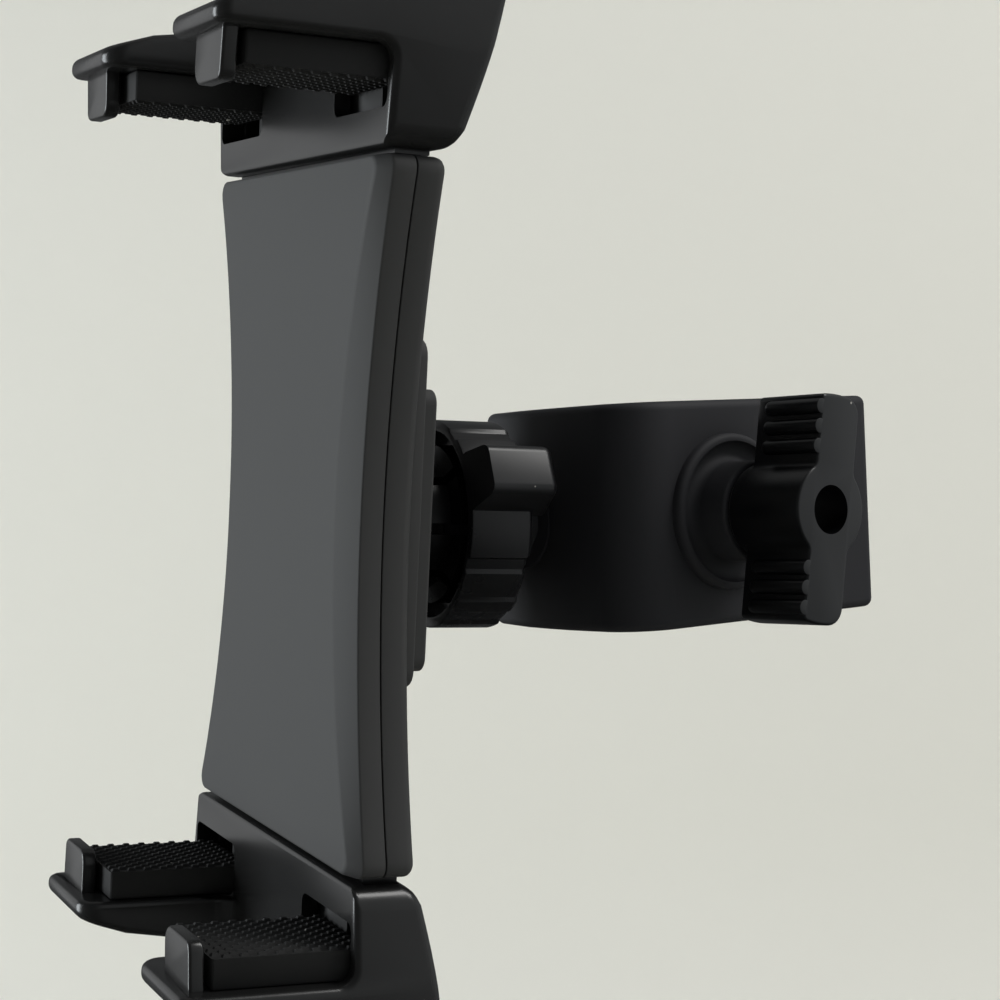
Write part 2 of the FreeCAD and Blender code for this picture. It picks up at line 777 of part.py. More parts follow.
def rear_shell():
    shell = waisted_block(0, parting_depth, body_depth)
    shell = rounded(shell, 0.6, lambda edge: flat_at(edge, "y", body_depth))
    plateau = block(-plateau_half, plateau_half, body_depth - 0.5, body_depth + plateau_depth,
                    plateau_bottom, plateau_top)
    plateau = rounded(plateau, plateau_round, lambda edge: runs_along(edge, "y"))
    plateau = rounded(plateau, 0.4, lambda edge: flat_at(edge, "y", body_depth + plateau_depth))
    shell = shell.fuse(plateau)
    shell = shell.cut(waisted_block(side_wall, parting_depth - 1, body_depth - rear_wall))
    well = block(-plateau_half + 2.5, plateau_half - 2.5, body_depth - rear_wall - 1,
                 body_depth + plateau_depth - rear_wall, plateau_bottom + 2, plateau_top - 2)
    shell = shell.cut(well)
    for x, z in shell_screw_places():
        shell = shell.fuse(rod_y(shell_boss_radius, x, parting_depth, body_depth - 0.5, z))
        shell = shell.cut(rod_y(shell_screw_radius + 0.1, x, parting_depth - 1, body_depth + 1, z))
        shell = shell.cut(rod_y(shell_screw_head + 0.1, x, body_depth - shell_screw_head_depth, body_depth + 1, z))
    for x, z in plate_screw_places():
        shell = shell.cut(rod_y(plate_screw_radius + 0.1, x, parting_depth, body_depth + plateau_depth + 1, z))
    for gap in upper_window() + [lower_window()]:
        shell = shell.cut(gap)
    shell = shell.cut(parting_notch(parting_depth, parting_depth + parting_groove))
    return shell.removeSplitter()


def shell_screws():
    """Four small screws through the rear shell into the front one."""
    solids = []
    for x, z in shell_screw_places():
        head_y = body_depth - shell_screw_head_depth
        tip_y = max(front_wall_cradle + 0.1, body_depth - shell_screw_head_depth - shell_screw_length)
        screw = rod_y(shell_screw_radius, x, tip_y, head_y + 0.01, z)
        screw = screw.fuse(rod_y(shell_screw_head, x, head_y, body_depth - 0.1, z))
        solids.append(crossed(screw, x, body_depth - 0.1, z, 1.3, 0.5).removeSplitter())
    return Part.makeCompound(solids)


def crossed(screw, x, y, z, reach, depth):
    """The screw with a cross recess in the end of its head at y."""
    bar = block(x - reach, x + reach, y - depth, y + 1, z - 0.25, z + 0.25)
    return screw.cut(bar.fuse(block(x - 0.25, x + 0.25, y - depth, y + 1, z - reach, z + reach)))


def mount_plate():
    """The stepped plate on the rear shell that traps the socket's flange."""
    y0 = body_depth + plateau_depth
    y1 = y0 + plate_depth
    plate = block(-plate_half, plate_half, y0, y1, plate_bottom, plate_top)
    plate = rounded(plate, plate_round, lambda edge: runs_along(edge, "y"))
    plate = rounded(plate, 0.4, lambda edge: flat_at(edge, "y", y1))
    axis_z = -ball_drop
    recess = rod_y(flange_radius + seat_gap, 0, y0 - 1, y0 + seat_gap + flange_thickness + seat_gap, axis_z)
    key = block(-flange_radius - 1.6 - seat_gap, flange_radius + 1.6 + seat_gap, y0 - 1,
                y0 + flange_thickness + 2 * seat_gap, axis_z - 2 - seat_gap, axis_z + 2 + seat_gap)
    way = rod_y(post_radius + seat_gap, 0, y0 - 1, y1 + 1, axis_z)
    plate = plate.cut(recess).cut(key).cut(way)
    for x, z in plate_screw_places():
        plate = plate.cut(rod_y(plate_screw_radius, x, y0 - 1, y1 - 0.4, z))
    return plate


def plate_screws():
    """Four screws from inside the rear shell into the mounting plate."""
    solids = []
    seat = body_depth + plateau_depth - rear_wall
    for x, z in plate_screw_places():
        screw = rod_y(plate_screw_radius, x, seat - 0.01, body_depth + plateau_depth + plate_depth - 0.5, z)
        screw = screw.fuse(rod_y(plate_screw_head, x, seat - plate_screw_head_depth, seat, z))
        bar = block(x - 1.5, x + 1.5, seat - plate_screw_head_depth - 1, seat - plate_screw_head_depth + 0.6,
                    z - 0.3, z + 0.3)
        solids.append(screw.cut(bar).removeSplitter())
    return Part.makeCompound(solids)


slide_foot = slide_foot_inset - body_half_height


def upper_slide():
    """The U-shaped slide: a bar in the arm, two legs and a tab at the foot of each for its spring."""
    y0, y1 = slide_front, slide_front + slide_depth
    foot = slide_foot
    slide = block(-slide_bar_half, slide_bar_half, y0, y1, bar_top - slide_bar_height, bar_top)
    for side in (-1, 1):
        x0, x1 = sorted((side * upper_leg_inner, side * upper_leg_outer))
        slide = slide.fuse(block(x0, x1, y0, y1, foot, bar_top - 1))
        x0, x1 = sorted((side * upper_tab_inner, side * (upper_leg_inner + 1)))
        slide = slide.fuse(block(x0, x1, y0, y1, foot, foot + tab_height))
    return slide_screw_holes(slide).removeSplitter()


def slide_screw_holes(slide):
    for x in (-arm_screw_x, arm_screw_x):
        slide = slide.cut(rod(arm_screw_radius, vec(x, slide_middle(), bar_top - arm_screw_bite - 0.5), along_z,
                              arm_screw_bite + 2))
    return slide


def slide_middle():
    return slide_front + slide_depth / 2


def lower_slide():
    """The single tongue with a window for its spring, drawn as if it pointed up and then flipped."""
    y0, y1 = slide_front, slide_front + slide_depth
    foot = slide_foot
    slide = block(-slide_bar_half, slide_bar_half, y0, y1, bar_top - slide_bar_height, bar_top)
    slide = slide.fuse(block(-lower_tongue_half, lower_tongue_half, y0, y1, foot, bar_top - 1))
    window_end = body_half_height - post_inset + slide_clear
    slide = slide.cut(block(-lower_window_half, lower_window_half, y0 - 1, y1 + 1, foot + tab_height, window_end))
    return flipped(slide_screw_holes(slide).removeSplitter())


def flipped(shape):
    """The shape turned upside down about the Y axis."""
    turned = shape.copy()
    turned.rotate(origin, along_y, 180)
    return turned


def spring(x, z0, z1):
    """A compression spring as a hollow sleeve of its outer size."""
    middle = vec(x, slide_middle(), z0)
    sleeve = rod(spring_radius, middle, along_z, z1 - z0)
    return sleeve.cut(rod(spring_radius - 2 * spring_wire, middle, along_z, z1 - z0))


def upper_springs():
    z0 = slide_foot + tab_height + spring_clear
    z1 = body_half_height - post_inset - post_height - spring_clear
    return Part.makeCompound([spring(-upper_spring_x, z0, z1), spring(upper_spring_x, z0, z1)])


def lower_spring():
    z0 = slide_foot + tab_height + spring_clear
    z1 = body_half_height - post_inset - post_height - spring_clear
    return flipped(spring(0, z0, z1))


def arm():
    """An arm as it stands at the top: a hollow cap with two fingers and a lip on each."""
    rear_profile = [
        (-arm_half, arm_front, arm_start),
        (-arm_half, arm_front, arm_end_height),
        (-arm_half, arm_rear_outer, arm_end_height),
        (-arm_half, arm_rear_inner, arm_start),
    ]
    cap = prism(rear_profile, vec(2 * arm_half, 0, 0))
    cap = rounded(cap, arm_round, lambda edge: edge.BoundBox.ZMax > arm_start + 0.5
                  and not runs_along(edge, "y"))
    cap = rounded(cap, 0.6, lambda edge: flat_at(edge, "z", arm_start))
    cavity_profile = [
        (-arm_half + arm_wall, arm_front + arm_wall, arm_start - 1),
        (-arm_half + arm_wall, arm_front + arm_wall, arm_end_height - arm_wall),
        (-arm_half + arm_wall, arm_rear_outer - arm_wall - 0.4, arm_end_height - arm_wall),
        (-arm_half + arm_wall, arm_rear_inner - arm_wall, arm_start - 1),
    ]
    cavity = prism(cavity_profile, vec(2 * (arm_half - arm_wall), 0, 0))
    for side in (-1, 1):
        cap = cap.fuse(finger(side))
    cap = cap.cut(cavity)
    for side in (-1, 1):
        slot_x0, slot_x1 = sorted((side * (pad_inner() - slot_margin), side * (pad_inner() + pad_width + slot_margin)))
        slot = block(slot_x0, slot_x1, arm_front - 0.5, arm_front + arm_wall + 1, arm_start + slot_rise, finger_ledge)
        slot = rounded(slot, 1.2, lambda edge: runs_along(edge, "y") and edge.BoundBox.ZMax < finger_ledge - 1)
        cap = cap.cut(slot)
        x = side * arm_screw_x
        column = rod(arm_column_radius, vec(x, slide_middle(), bar_top + slide_clear), along_z,
                     arm_end_height - arm_wall - bar_top)
        cap = cap.fuse(column)
        cap = cap.cut(rod(arm_screw_radius + 0.1, vec(x, slide_middle(), bar_top), along_z, arm_length))
        cap = cap.cut(rod(arm_screw_head + 0.1, vec(x, slide_middle(), arm_end_height - arm_screw_head_depth),
                          along_z, 5))
    return cap.removeSplitter()


def pad_inner():
    return finger_inner + 0.5


def finger(side):
    """A finger: a tapered bar with a rounded tip and an upturned lip."""
    profile = [
        (finger_inner, arm_front + 2, finger_ledge),
        (finger_inner, finger_tip, finger_ledge),
        (finger_inner, finger_tip, finger_ledge + finger_tip_thickness),
        (finger_inner, arm_front + 2, finger_ledge + finger_root_thickness),
    ]
    bar = prism(profile, vec(arm_half - finger_inner, 0, 0))
    bar = rounded(bar, finger_corner_round, lambda edge: flat_at(edge, "y", finger_tip) and runs_along(edge, "z"))
    edge_round = min(finger_round, 0.42 * finger_tip_thickness)
    bar = rounded(bar, edge_round, lambda edge: flat_at(edge, "y", finger_tip)
                  or edge.BoundBox.YMax < finger_tip + finger_corner_round + 0.01)
    lip = block(arm_half - 1.0 - lip_width, arm_half - 1.0, lip_front, lip_back, finger_ledge - lip_height,
                finger_ledge + 1)
    lip = rounded(lip, lip_round, lambda edge: flat_at(edge, "z", finger_ledge - lip_height)
                  or (runs_along(edge, "z") and near(edge.BoundBox.YMin, lip_front)))
    web_x = finger_inner - finger_web
    web_y = arm_front - finger_web
    web = block(web_x, finger_inner + 0.5, web_y, arm_front + 0.5, finger_ledge,
                finger_ledge + finger_root_thickness - 0.9)
    web = web.cut(rod(finger_web, vec(web_x, web_y, finger_ledge - 1), along_z, finger_root_thickness + 2))
    whole = bar.fuse(lip).fuse(web)
    if side < 0:
        return whole.mirror(origin, along_x)
    return whole


def grip_pad(side):
    """A rubber pad on a finger, with its tail in the arm's slot."""
    x0 = pad_inner()
    y0 = lip_back + pad_lip_gap
    pad = block(x0, x0 + pad_width, y0, arm_front + pad_tail, finger_ledge - pad_rise, finger_ledge - seat_gap)
    pad = rounded(pad, 0.5, lambda edge: flat_at(edge, "z", finger_ledge - pad_rise))
    if side < 0:
        return pad.mirror(origin, along_x)
    return pad


def arm_screws():
    """Two long screws from the arm's end into its slide."""
    solids = []
    for x in (-arm_screw_x, arm_screw_x):
        base = vec(x, slide_middle(), bar_top - arm_screw_bite)
        head_z = arm_end_height - arm_screw_head_depth
        screw = rod(arm_screw_radius, base, along_z, head_z - base.z + 0.01)
        screw = screw.fuse(rod(arm_screw_head, vec(x, slide_middle(), head_z), along_z, arm_screw_head_depth - 0.4))
        bar = block(x - 1.5, x + 1.5, slide_middle() - 0.3, slide_middle() + 0.3, arm_end_height - 1.0,
                    arm_end_height + 1)
        solids.append(screw.cut(bar).removeSplitter())
    return Part.makeCompound(solids)


def placed(shape):
    """A socket piece, built about the ball, moved to the ball and turned to the rest pose."""
    turn = FreeCAD.Rotation(along_z, rest_pan) * FreeCAD.Rotation(along_x, rest_tilt) * FreeCAD.Rotation(
        along_y, rest_roll)
    whole = shape.copy()
    whole.Placement = FreeCAD.Placement(ball_centre, turn).multiply(shape.Placement)
    return whole


def placed_cradle(shape):
    """A cradle piece, built on its tablet face, put in its place on the ball and turned with it."""
    moved = shape.copy()
    moved.translate(vec(0, -ball_depth, ball_drop))
    return placed(moved)


def tilt_only(shape, pan=True, tilt=True, roll=True):
    """A liner piece turned with only the joints that carry it."""
    turn = FreeCAD.Rotation()
    if pan:
        turn = turn * FreeCAD.Rotation(along_z, rest_pan)
    if tilt:
        turn = turn * FreeCAD.Rotation(along_x, rest_tilt)
    if roll:
        turn = turn * FreeCAD.Rotation(along_y, rest_roll)
    whole = shape.copy()
    whole.Placement = FreeCAD.Placement(ball_centre, turn).multiply(shape.Placement)
    return whole


def lower(shape):
    return placed_cradle(flipped(shape))


nodes = {
    "clamp_body": clamp_body(),
    "near_jaw_pad": jaw_pad(pad_start_near, pad_end_near),
    "sliding_jaw": sliding_jaw(),
    "far_jaw_pad": jaw_pad(pad_start_far, pad_end_far),
    "captive_nut": captive_nut(),
    "clamp_screw": turned_screw(),
    "retaining_clip": retaining_clip(),
    "thrust_washer": thrust_washer(),
    "t_knob": t_knob(),
    "ball_stud": ball_stud(),
    "ball_stud_screw": ball_stud_screw(),
    "pressure_pad": tilt_only(pressure_pad(), tilt=False, roll=False),
    "friction_collet": tilt_only(friction_collet(), roll=False),
    "socket": placed(socket()),
    "lock_ring": placed(lock_ring()),
    "front_shell": placed_cradle(front_shell()),
    "rear_shell": placed_cradle(rear_shell()),
    "shell_screws": placed_cradle(shell_screws()),
    "mount_plate": placed_cradle(mount_plate()),
    "plate_screws": placed_cradle(plate_screws()),
    "upper_slide": placed_cradle(upper_slide()),
    "lower_slide": placed_cradle(lower_slide()),
    "upper_springs": placed_cradle(upper_springs()),
    "lower_spring": placed_cradle(lower_spring()),
    "upper_arm": placed_cradle(arm()),
    "upper_arm_screws": placed_cradle(arm_screws()),
    "upper_near_pad": placed_cradle(grip_pad(1)),
    "upper_far_pad": placed_cradle(grip_pad(-1)),
    "lower_arm": lower(arm()),
    "lower_arm_screws": lower(arm_screws()),
    "lower_near_pad": lower(grip_pad(-1)),
    "lower_far_pad": lower(grip_pad(1)),
}

for name, shape in nodes.items():
    for solid in shape.Solids:
        if not solid.isValid():
            print("not valid:", name)
    print(name, len(shape.Solids), round(shape.Volume, 1))
    shape.exportStep("parts/" + name + ".step")
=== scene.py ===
"""Tablet holder with a ball joint and a screw clamp: pieces, finishes, light and camera, in metres."""

import json
import math

import bmesh
import bpy
from bpy.props import FloatProperty, FloatVectorProperty, IntProperty, PointerProperty
from mathutils import Matrix, Vector

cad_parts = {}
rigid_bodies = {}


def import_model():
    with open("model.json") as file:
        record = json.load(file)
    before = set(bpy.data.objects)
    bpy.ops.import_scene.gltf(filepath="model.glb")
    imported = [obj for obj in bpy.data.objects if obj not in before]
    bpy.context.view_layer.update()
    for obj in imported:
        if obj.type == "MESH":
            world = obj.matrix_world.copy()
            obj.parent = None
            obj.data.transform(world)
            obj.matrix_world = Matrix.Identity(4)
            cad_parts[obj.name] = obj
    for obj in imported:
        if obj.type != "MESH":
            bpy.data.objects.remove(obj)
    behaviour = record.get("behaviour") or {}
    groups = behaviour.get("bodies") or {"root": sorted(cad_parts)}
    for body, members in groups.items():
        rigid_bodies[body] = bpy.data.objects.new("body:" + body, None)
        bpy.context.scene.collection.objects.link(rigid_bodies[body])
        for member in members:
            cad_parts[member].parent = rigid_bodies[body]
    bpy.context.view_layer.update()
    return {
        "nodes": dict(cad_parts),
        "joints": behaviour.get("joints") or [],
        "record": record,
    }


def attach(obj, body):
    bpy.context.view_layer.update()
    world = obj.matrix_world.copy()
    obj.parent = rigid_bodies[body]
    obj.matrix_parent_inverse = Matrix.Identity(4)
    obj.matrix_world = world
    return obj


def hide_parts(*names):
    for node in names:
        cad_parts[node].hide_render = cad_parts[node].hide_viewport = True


bl_info = {
    "name": "Tablet holder",
    "version": (1, 0, 0),
    "blender": (4, 5, 0),
    "location": "View3D > Sidebar > Tablet holder",
    "description": "Models and dresses a tablet holder with a ball joint and a screw clamp",
    "category": "Add Mesh",
}

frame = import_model()

MM = 0.001
HAIR = 1e-6  # nearer points than this are one point
SLIVER = 0.02 * MM  # nearer places than this count as the same
OVERSHOOT = 1 * MM  # how far a cutter reaches past what it cuts
SHARP_ANGLE = math.radians(32)
JOINTS = {joint["name"]: joint for joint in frame["joints"]}
MOUNTS = {mount["name"]: mount for mount in frame["record"]["mounts"]}


# Places that the frame gives

def joint_axis(name):
    return Vector(JOINTS[name]["axis"]).normalized()


def standing(origin):
    """The matrix from the cradle's own axes, across, depth and up, to the frame's, about origin."""
    depth = joint_axis("ball_roll")
    up = joint_axis("upper_arm_slide")
    across = depth.cross(up)
    matrix = Matrix((across, depth, up)).transposed().to_4x4()
    matrix.translation = Vector(origin)
    return matrix


BALL = Vector(JOINTS["ball_pan"]["pos_m"])
SCREW = Vector(JOINTS["knob_turn"]["pos_m"])
ON_CRADLE = standing(MOUNTS["tablet_face"]["pos_m"])
ON_BALL = standing(BALL)
UPSIDE_DOWN = Matrix.Rotation(math.pi, 4, "Y")


# Sizes and colours that a user may change

def length(name, description, millimetres):
    return FloatProperty(name=name, description=description, default=millimetres * MM,
                         unit="LENGTH", precision=5)


def angle(name, description, degrees):
    return FloatProperty(name=name, description=description, default=math.radians(degrees),
                         subtype="ANGLE")


def share(name, description, value):
    return FloatProperty(name=name, description=description, default=value, min=0, max=1,
                         subtype="FACTOR")


def level(name, description, value):
    return FloatProperty(name=name, description=description, default=value, min=0, subtype="NONE")


def colour(name, description, value):
    return FloatVectorProperty(name=name, description=description, default=value, min=0, max=1,
                               subtype="COLOR")


class CradleSizes(bpy.types.PropertyGroup):
    """Sizes of the cradle's two shells."""

    half_height: length("Half height", "From the middle to the top of the shells", 46.3)
    end_half: length("Half width at the ends", "Outer half width at the top and bottom", 34.0)
    waist_half: length("Half width at the waist", "Outer half width half way up", 27.2)
    face_half_height: length("Face half height", "From the middle to the top of the flat face", 46.0)
    face_end_half: length("Face half width at the ends", "Half width of the face at its ends", 32.1)
    face_waist_half: length("Face half width at the waist", "Half width of the face half way up", 21.9)
    bevel_depth: length("Bevel depth", "Depth of the sloping band round the face", 1.7)
    seam_depth: length("Seam depth", "Depth of the seam between the shells behind the face", 4.9)
    seam_gap: length("Seam gap", "Width of the seam", 0.2)
    depth: length("Depth", "Depth of the rear shell's back behind the face", 9.0)
    wall: length("Wall", "Thickness of the shells", 1.7)
    corner: length("Corner", "Radius of the shells' corners", 1.8)
    face_round: length("Face rounding", "Rounding between the face and its sloping band", 0.4)
    rim_round: length("Rim rounding", "Rounding between the sloping band and the side", 0.22)
    back_round: length("Back rounding", "Rounding of the rear shell's back edge", 1.3)
    step_half: length("Step half width", "Half width of the raised step on the back", 26.3)
    step_top: length("Step top", "Height of the raised step's top edge", 23.6)
    step_bottom: length("Step bottom", "Height of the raised step's bottom edge", -22.5)
    step_depth: length("Step depth", "Depth of the raised step on the back", 1.6)
    step_corner: length("Step corner", "Radius of the raised step's corners", 2.5)


class SlideSizes(bpy.types.PropertyGroup):
    """Sizes of the ways through the shells for the arms' slides."""

    front: length("Front", "Depth where the slides start", 2.95)
    back: length("Back", "Depth where the slides end", 6.75)
    leg_inner: length("Leg inner", "Inner edge of each upper way", 16.65)
    leg_outer: length("Leg outer", "Outer edge of each upper way", 24.75)
    tongue_half: length("Tongue half width", "Half width of the lower way", 8.85)


class ArmSizes(bpy.types.PropertyGroup):
    """Sizes of a gripping arm, as the upper one stands."""

    start: length("Start", "Height where the arm starts at its back", 46.9)
    start_slant: length("Start slant", "How much later the arm starts at its front", 0.15)
    skirt: length("Skirt", "How far the skirt inside stands out of the arm's start at the front", 0.55)
    skirt_front: length("Skirt front", "How far the skirt's front lies behind the arm's front", 2.45)
    skirt_back: length("Skirt back", "Depth of the skirt's back", 7.6)
    skirt_half: length("Skirt half width", "Half width of the skirt", 30.5)
    end: length("End", "Height where the arm ends", 70.0)
    half: length("Half width", "Half width of the arm from its ledges on", 35.8)
    start_half: length("Start half width", "Half width of the arm at its start", 34.0)
    front: length("Front", "Depth of the arm's front behind the tablet's face", 0.4)
    back_start: length("Back at the start", "Depth of the upper arm's back at its start", 10.2)
    back_end: length("Back at the end", "Depth of the upper arm's back at its end", 16.0)
    lower_back_start: length("Lower back at the start", "Depth of the lower arm's back at its start", 9.3)
    lower_back_end: length("Lower back at the end", "Depth of the lower arm's back at its end", 13.8)
    back_bulge: length("Back bulge", "How far the back bows out", 0.5)
    wall: length("Wall", "Thickness of the arm's walls", 2.2)
    rounding: length("Rounding", "Rounding between the arm's start and its sides and back", 3.0)
    block_round: share("Block rounding", "Share of that rounding on the block's other edges", 0.5)
    finger_round: share("Finger rounding", "Share of that rounding on the fingers' edges", 0.36)
    front_round: share("Front rounding", "Share of that rounding on the start's front edge", 0.28)
    lip_round: share("Lip rounding", "Share of that rounding on the lips' edges", 0.15)
    ledge: length("Ledge", "Height of the fingers' inner side", 59.4)
    finger_inner: length("Finger inner edge", "Where a finger starts from the middle", 14.6)
    finger_tip: length("Finger tip", "Depth of a finger's tip, in front of the face", -22.6)
    tip_thickness: length("Tip thickness", "Thickness of a finger at its tip", 2.6)
    shoulder: length("Shoulder", "Distance from the tip where a finger's back gets flatter", 7.0)
    shoulder_thickness: length("Shoulder thickness", "Thickness of a finger there", 4.9)
    root_thickness: length("Root thickness", "Thickness of a finger at its root", 7.4)
    tip_inner_corner: length("Tip inner corner", "Radius of a finger tip's corner near the middle", 3.4)
    tip_outer_corner: length("Tip outer corner", "Radius of a finger tip's outer corner", 2.2)
    web: length("Web", "Radius of the hollow between a finger and the arm", 3.0)
    gusset: length("Gusset", "Radius of the hollow between a ledge and the arm's front", 2.1)
    lip_front: length("Lip front", "Depth of the lip's front side", -20.7)
    lip_back: length("Lip back", "Depth of the lip's back side", -18.6)
    lip_inner: length("Lip inner edge", "Where a lip starts from the middle", 21.4)
    lip_outer: length("Lip outer edge", "Where a lip ends from the middle", 32.5)
    lip_height: length("Lip height", "How far a lip stands up from its ledge", 6.2)
    lip_inner_corner: length("Lip inner corner", "Radius of the lip's corner near the middle", 2.4)
    lip_outer_corner: length("Lip outer corner", "Radius of the lip's outer corner", 1.3)
    slot_start: length("Slot start", "Height where the slot behind a pad starts", 51.8)
    slot_margin: length("Slot margin", "Room beside the pad in its slot", 0.9)
    slot_corner: length("Slot corner", "Radius of the slot's corners", 1.4)
    screw_across: length("Screw place", "Distance of an arm's screws from its middle", 11.5)
    screw_depth: length("Screw depth", "Depth of an arm's screws behind the face", 4.85)
    screw_head: length("Screw head", "Radius of the recess for a screw's head", 2.4)
    screw_recess: length("Screw recess", "Depth of the recess for a screw's head", 1.8)


class PadSizes(bpy.types.PropertyGroup):
    """Sizes of a finger's rubber pad."""

    inner: length("Inner edge", "Where the pad starts from the middle", 15.6)
    outer: length("Outer edge", "Where the pad ends from the middle", 33.0)
    front: length("Front end", "Depth of the pad's end at the lip", -18.0)
    back: length("Back end", "Depth of the pad's tail in its slot", 2.9)
    rise: length("Rise", "How far the pad's face stands off the ledge", 4.2)
    seat: length("Seat", "Gap between the pad and its ledge", 0.05)
    edge: length("Edge rounding", "Rounding of the pad's edges", 0.5)
    margin: length("Weave margin", "Plain rim round the woven face", 0.06)
    cell_width: length("Weave cell width", "Size of one cell of the weave across the pad", 0.95)
    cell_length: length("Weave cell length", "Size of one cell of the weave along the pad", 1.2)
    bump: length("Weave height", "How far the weave's raised cells stand up", 0.38)
    bump_slope: length("Weave slope", "Width of a raised cell's sloping sides", 0.23)


class RingSizes(bpy.types.PropertyGroup):
    """Sizes of the ball joint's lock ring, along its axis from the ball's middle."""

    back: length("Cradle end", "End of the ring towards the cradle", -5.2)
    front: length("Clamp end", "End of the ring towards the clamp", 4.2)
    radius: length("Radius", "Radius of the grip's lands", 15.0)
    shallow: length("Shallow step", "Depth of the grip's shallow bands", 0.42)
    deep: length("Deep step", "Depth of the grip's grooves", 0.85)
    skirt: length("Skirt radius", "Inner radius of the skirt", 13.6)
    skirt_depth: length("Skirt depth", "Depth of the recess in the skirt", 3.0)
    bore: length("Bore", "Radius of the threaded bore", 11.48)
    mouth: length("Mouth", "Radius of the mouth round the ball", 8.7)
    lip: length("Lip", "Thickness of the mouth's lip", 0.8)
    lobe_radius: length("Lobe radius", "Distance of a lobe's face from the axis", 19.6)
    lobe_back: length("Lobe start", "Start of a lobe along the axis, at the ring", -5.15)
    lobe_slant: length("Lobe slant", "How far the lobe's face starts behind its root", 1.4)
    lobe_front: length("Lobe end", "End of a lobe along the axis", 6.2)
    lobe_half: length("Lobe half width", "Half width of a lobe's face", 3.8)
    lobe_root_half: length("Lobe root half width", "Half width of a lobe where it leaves the ring", 4.3)
    lobe_round: length("Lobe rounding", "Rounding of a lobe's face", 1.4)
    lobe_angle: angle("Lobe angle", "Angle of the first lobe above the cradle's width", 28.5)
    lobes: IntProperty(name="Lobes", description="Number of lobes", default=2, min=1)


class ClampSizes(bpy.types.PropertyGroup):
    """Sizes of the clamp's fixed jaw and housing, from the axis of its round hollow."""

    half_height: length("Half height", "Half the clamp's height", 16.2)
    rim_round: length("Rim rounding", "Rounding of the top and bottom rims", 1.3)
    outer: length("Outer side", "Distance of the flat outer side", 30.5)
    end: length("Jaw end", "Depth of the jaw's end", 6.5)
    end_round: length("Jaw end rounding", "Radius of the jaw's outer end", 2.0)
    corner: length("Corner", "Radius of the housing's front corner", 8.0)
    bow: length("Bow", "Depth of the bowed front", -43.7)
    facet_end: length("Facet end", "Place across where the slanting facet starts", 3.0)
    facet_end_depth: length("Facet end depth", "Depth where the slanting facet starts", -41.7)
    left: length("Left side", "Place across of the housing's left side", -8.0)
    facet_depth: length("Facet depth", "Depth of the facet's corner at the left side", -37.9)
    inner: length("Inner radius", "Radius of the clamp's round hollow", 20.0)
    seat: length("Pad seat radius", "Radius of the pad's seat", 20.57)
    seat_half: length("Pad seat half height", "Half the height of the pad's seat", 14.05)
    cavity_front: length("Cavity front", "Depth of the housing cavity's front wall", -36.4)
    cavity_back: length("Cavity back", "Depth of the housing cavity's back wall", -20.9)
    cavity_end: length("Cavity end", "Place across of the cavity's end", 18.0)
    cavity_half: length("Cavity half height", "Half the height of the cavity", 9.0)
    collar_radius: length("Collar radius", "Outer radius of the raised collar round the boss", 11.3)
    collar_height: length("Collar height", "Height of the raised collar", 1.45)
    boss_radius: length("Boss radius", "Radius of the screw's boss", 7.2)
    boss_length: length("Boss length", "How far the boss stands off the outer side", 6.0)
    dish: length("Dish", "Radius of the hollow between the collar and the boss", 1.5)
    hole: length("Screw hole", "Radius of the screw's hole", 3.1)
    stud_boss_radius: length("Stud boss radius", "Radius of the ball stud's boss", 7.2)
    stud_boss: length("Stud boss depth", "Depth of the ball stud's boss", -42.9)


class KnobSizes(bpy.types.PropertyGroup):
    """Sizes of the clamp screw's knob, along the screw."""

    start: length("Start", "Where the hub starts", 37.1)
    end: length("End", "Where the knob ends", 50.1)
    hub: length("Hub radius", "Radius of the hub", 6.7)
    wing_start: length("Wing start", "Where the wings start", 37.9)
    wing_radius: length("Wing radius", "Distance of a wing's tip from the axis", 16.0)
    ribbed_half: length("Ribbed half width", "From a wing's middle to its side between the ribs", 3.5)
    plain_half: length("Plain half width", "From a wing's middle to its plain side", 4.2)
    wing_root: length("Wing root", "Radius of the hollow between hub and wing", 1.6)
    ribbed_corner: length("Ribbed corner", "Radius of a wing tip's corner at the ribs", 0.7)
    plain_corner: length("Plain corner", "Radius of a wing tip's corner at its plain side", 2.6)
    edge: length("Edge rounding", "Rounding of the knob's end", 0.45)
    hole: length("Hole radius", "Radius of the hole in the end", 3.4)
    hole_depth: length("Hole depth", "Depth of the hole in the end", 6.5)
    rib_radius: length("Rib radius", "Radius of a grip rib", 1.08)
    rib_first: length("First rib", "Distance of the first rib from the axis", 8.4)
    rib_pitch: length("Rib pitch", "Distance between ribs", 2.75)
    rib_start: length("Rib start", "Where the ribs' round noses stand", 40.7)
    rib_out: length("Rib place", "Distance of a rib's middle from the wing's middle", 3.45)
    ribs: IntProperty(name="Ribs", description="Ribs on each side of a wing", default=3, min=1)
    turned: angle("Turned", "How far the knob is turned about its screw", -10.5)


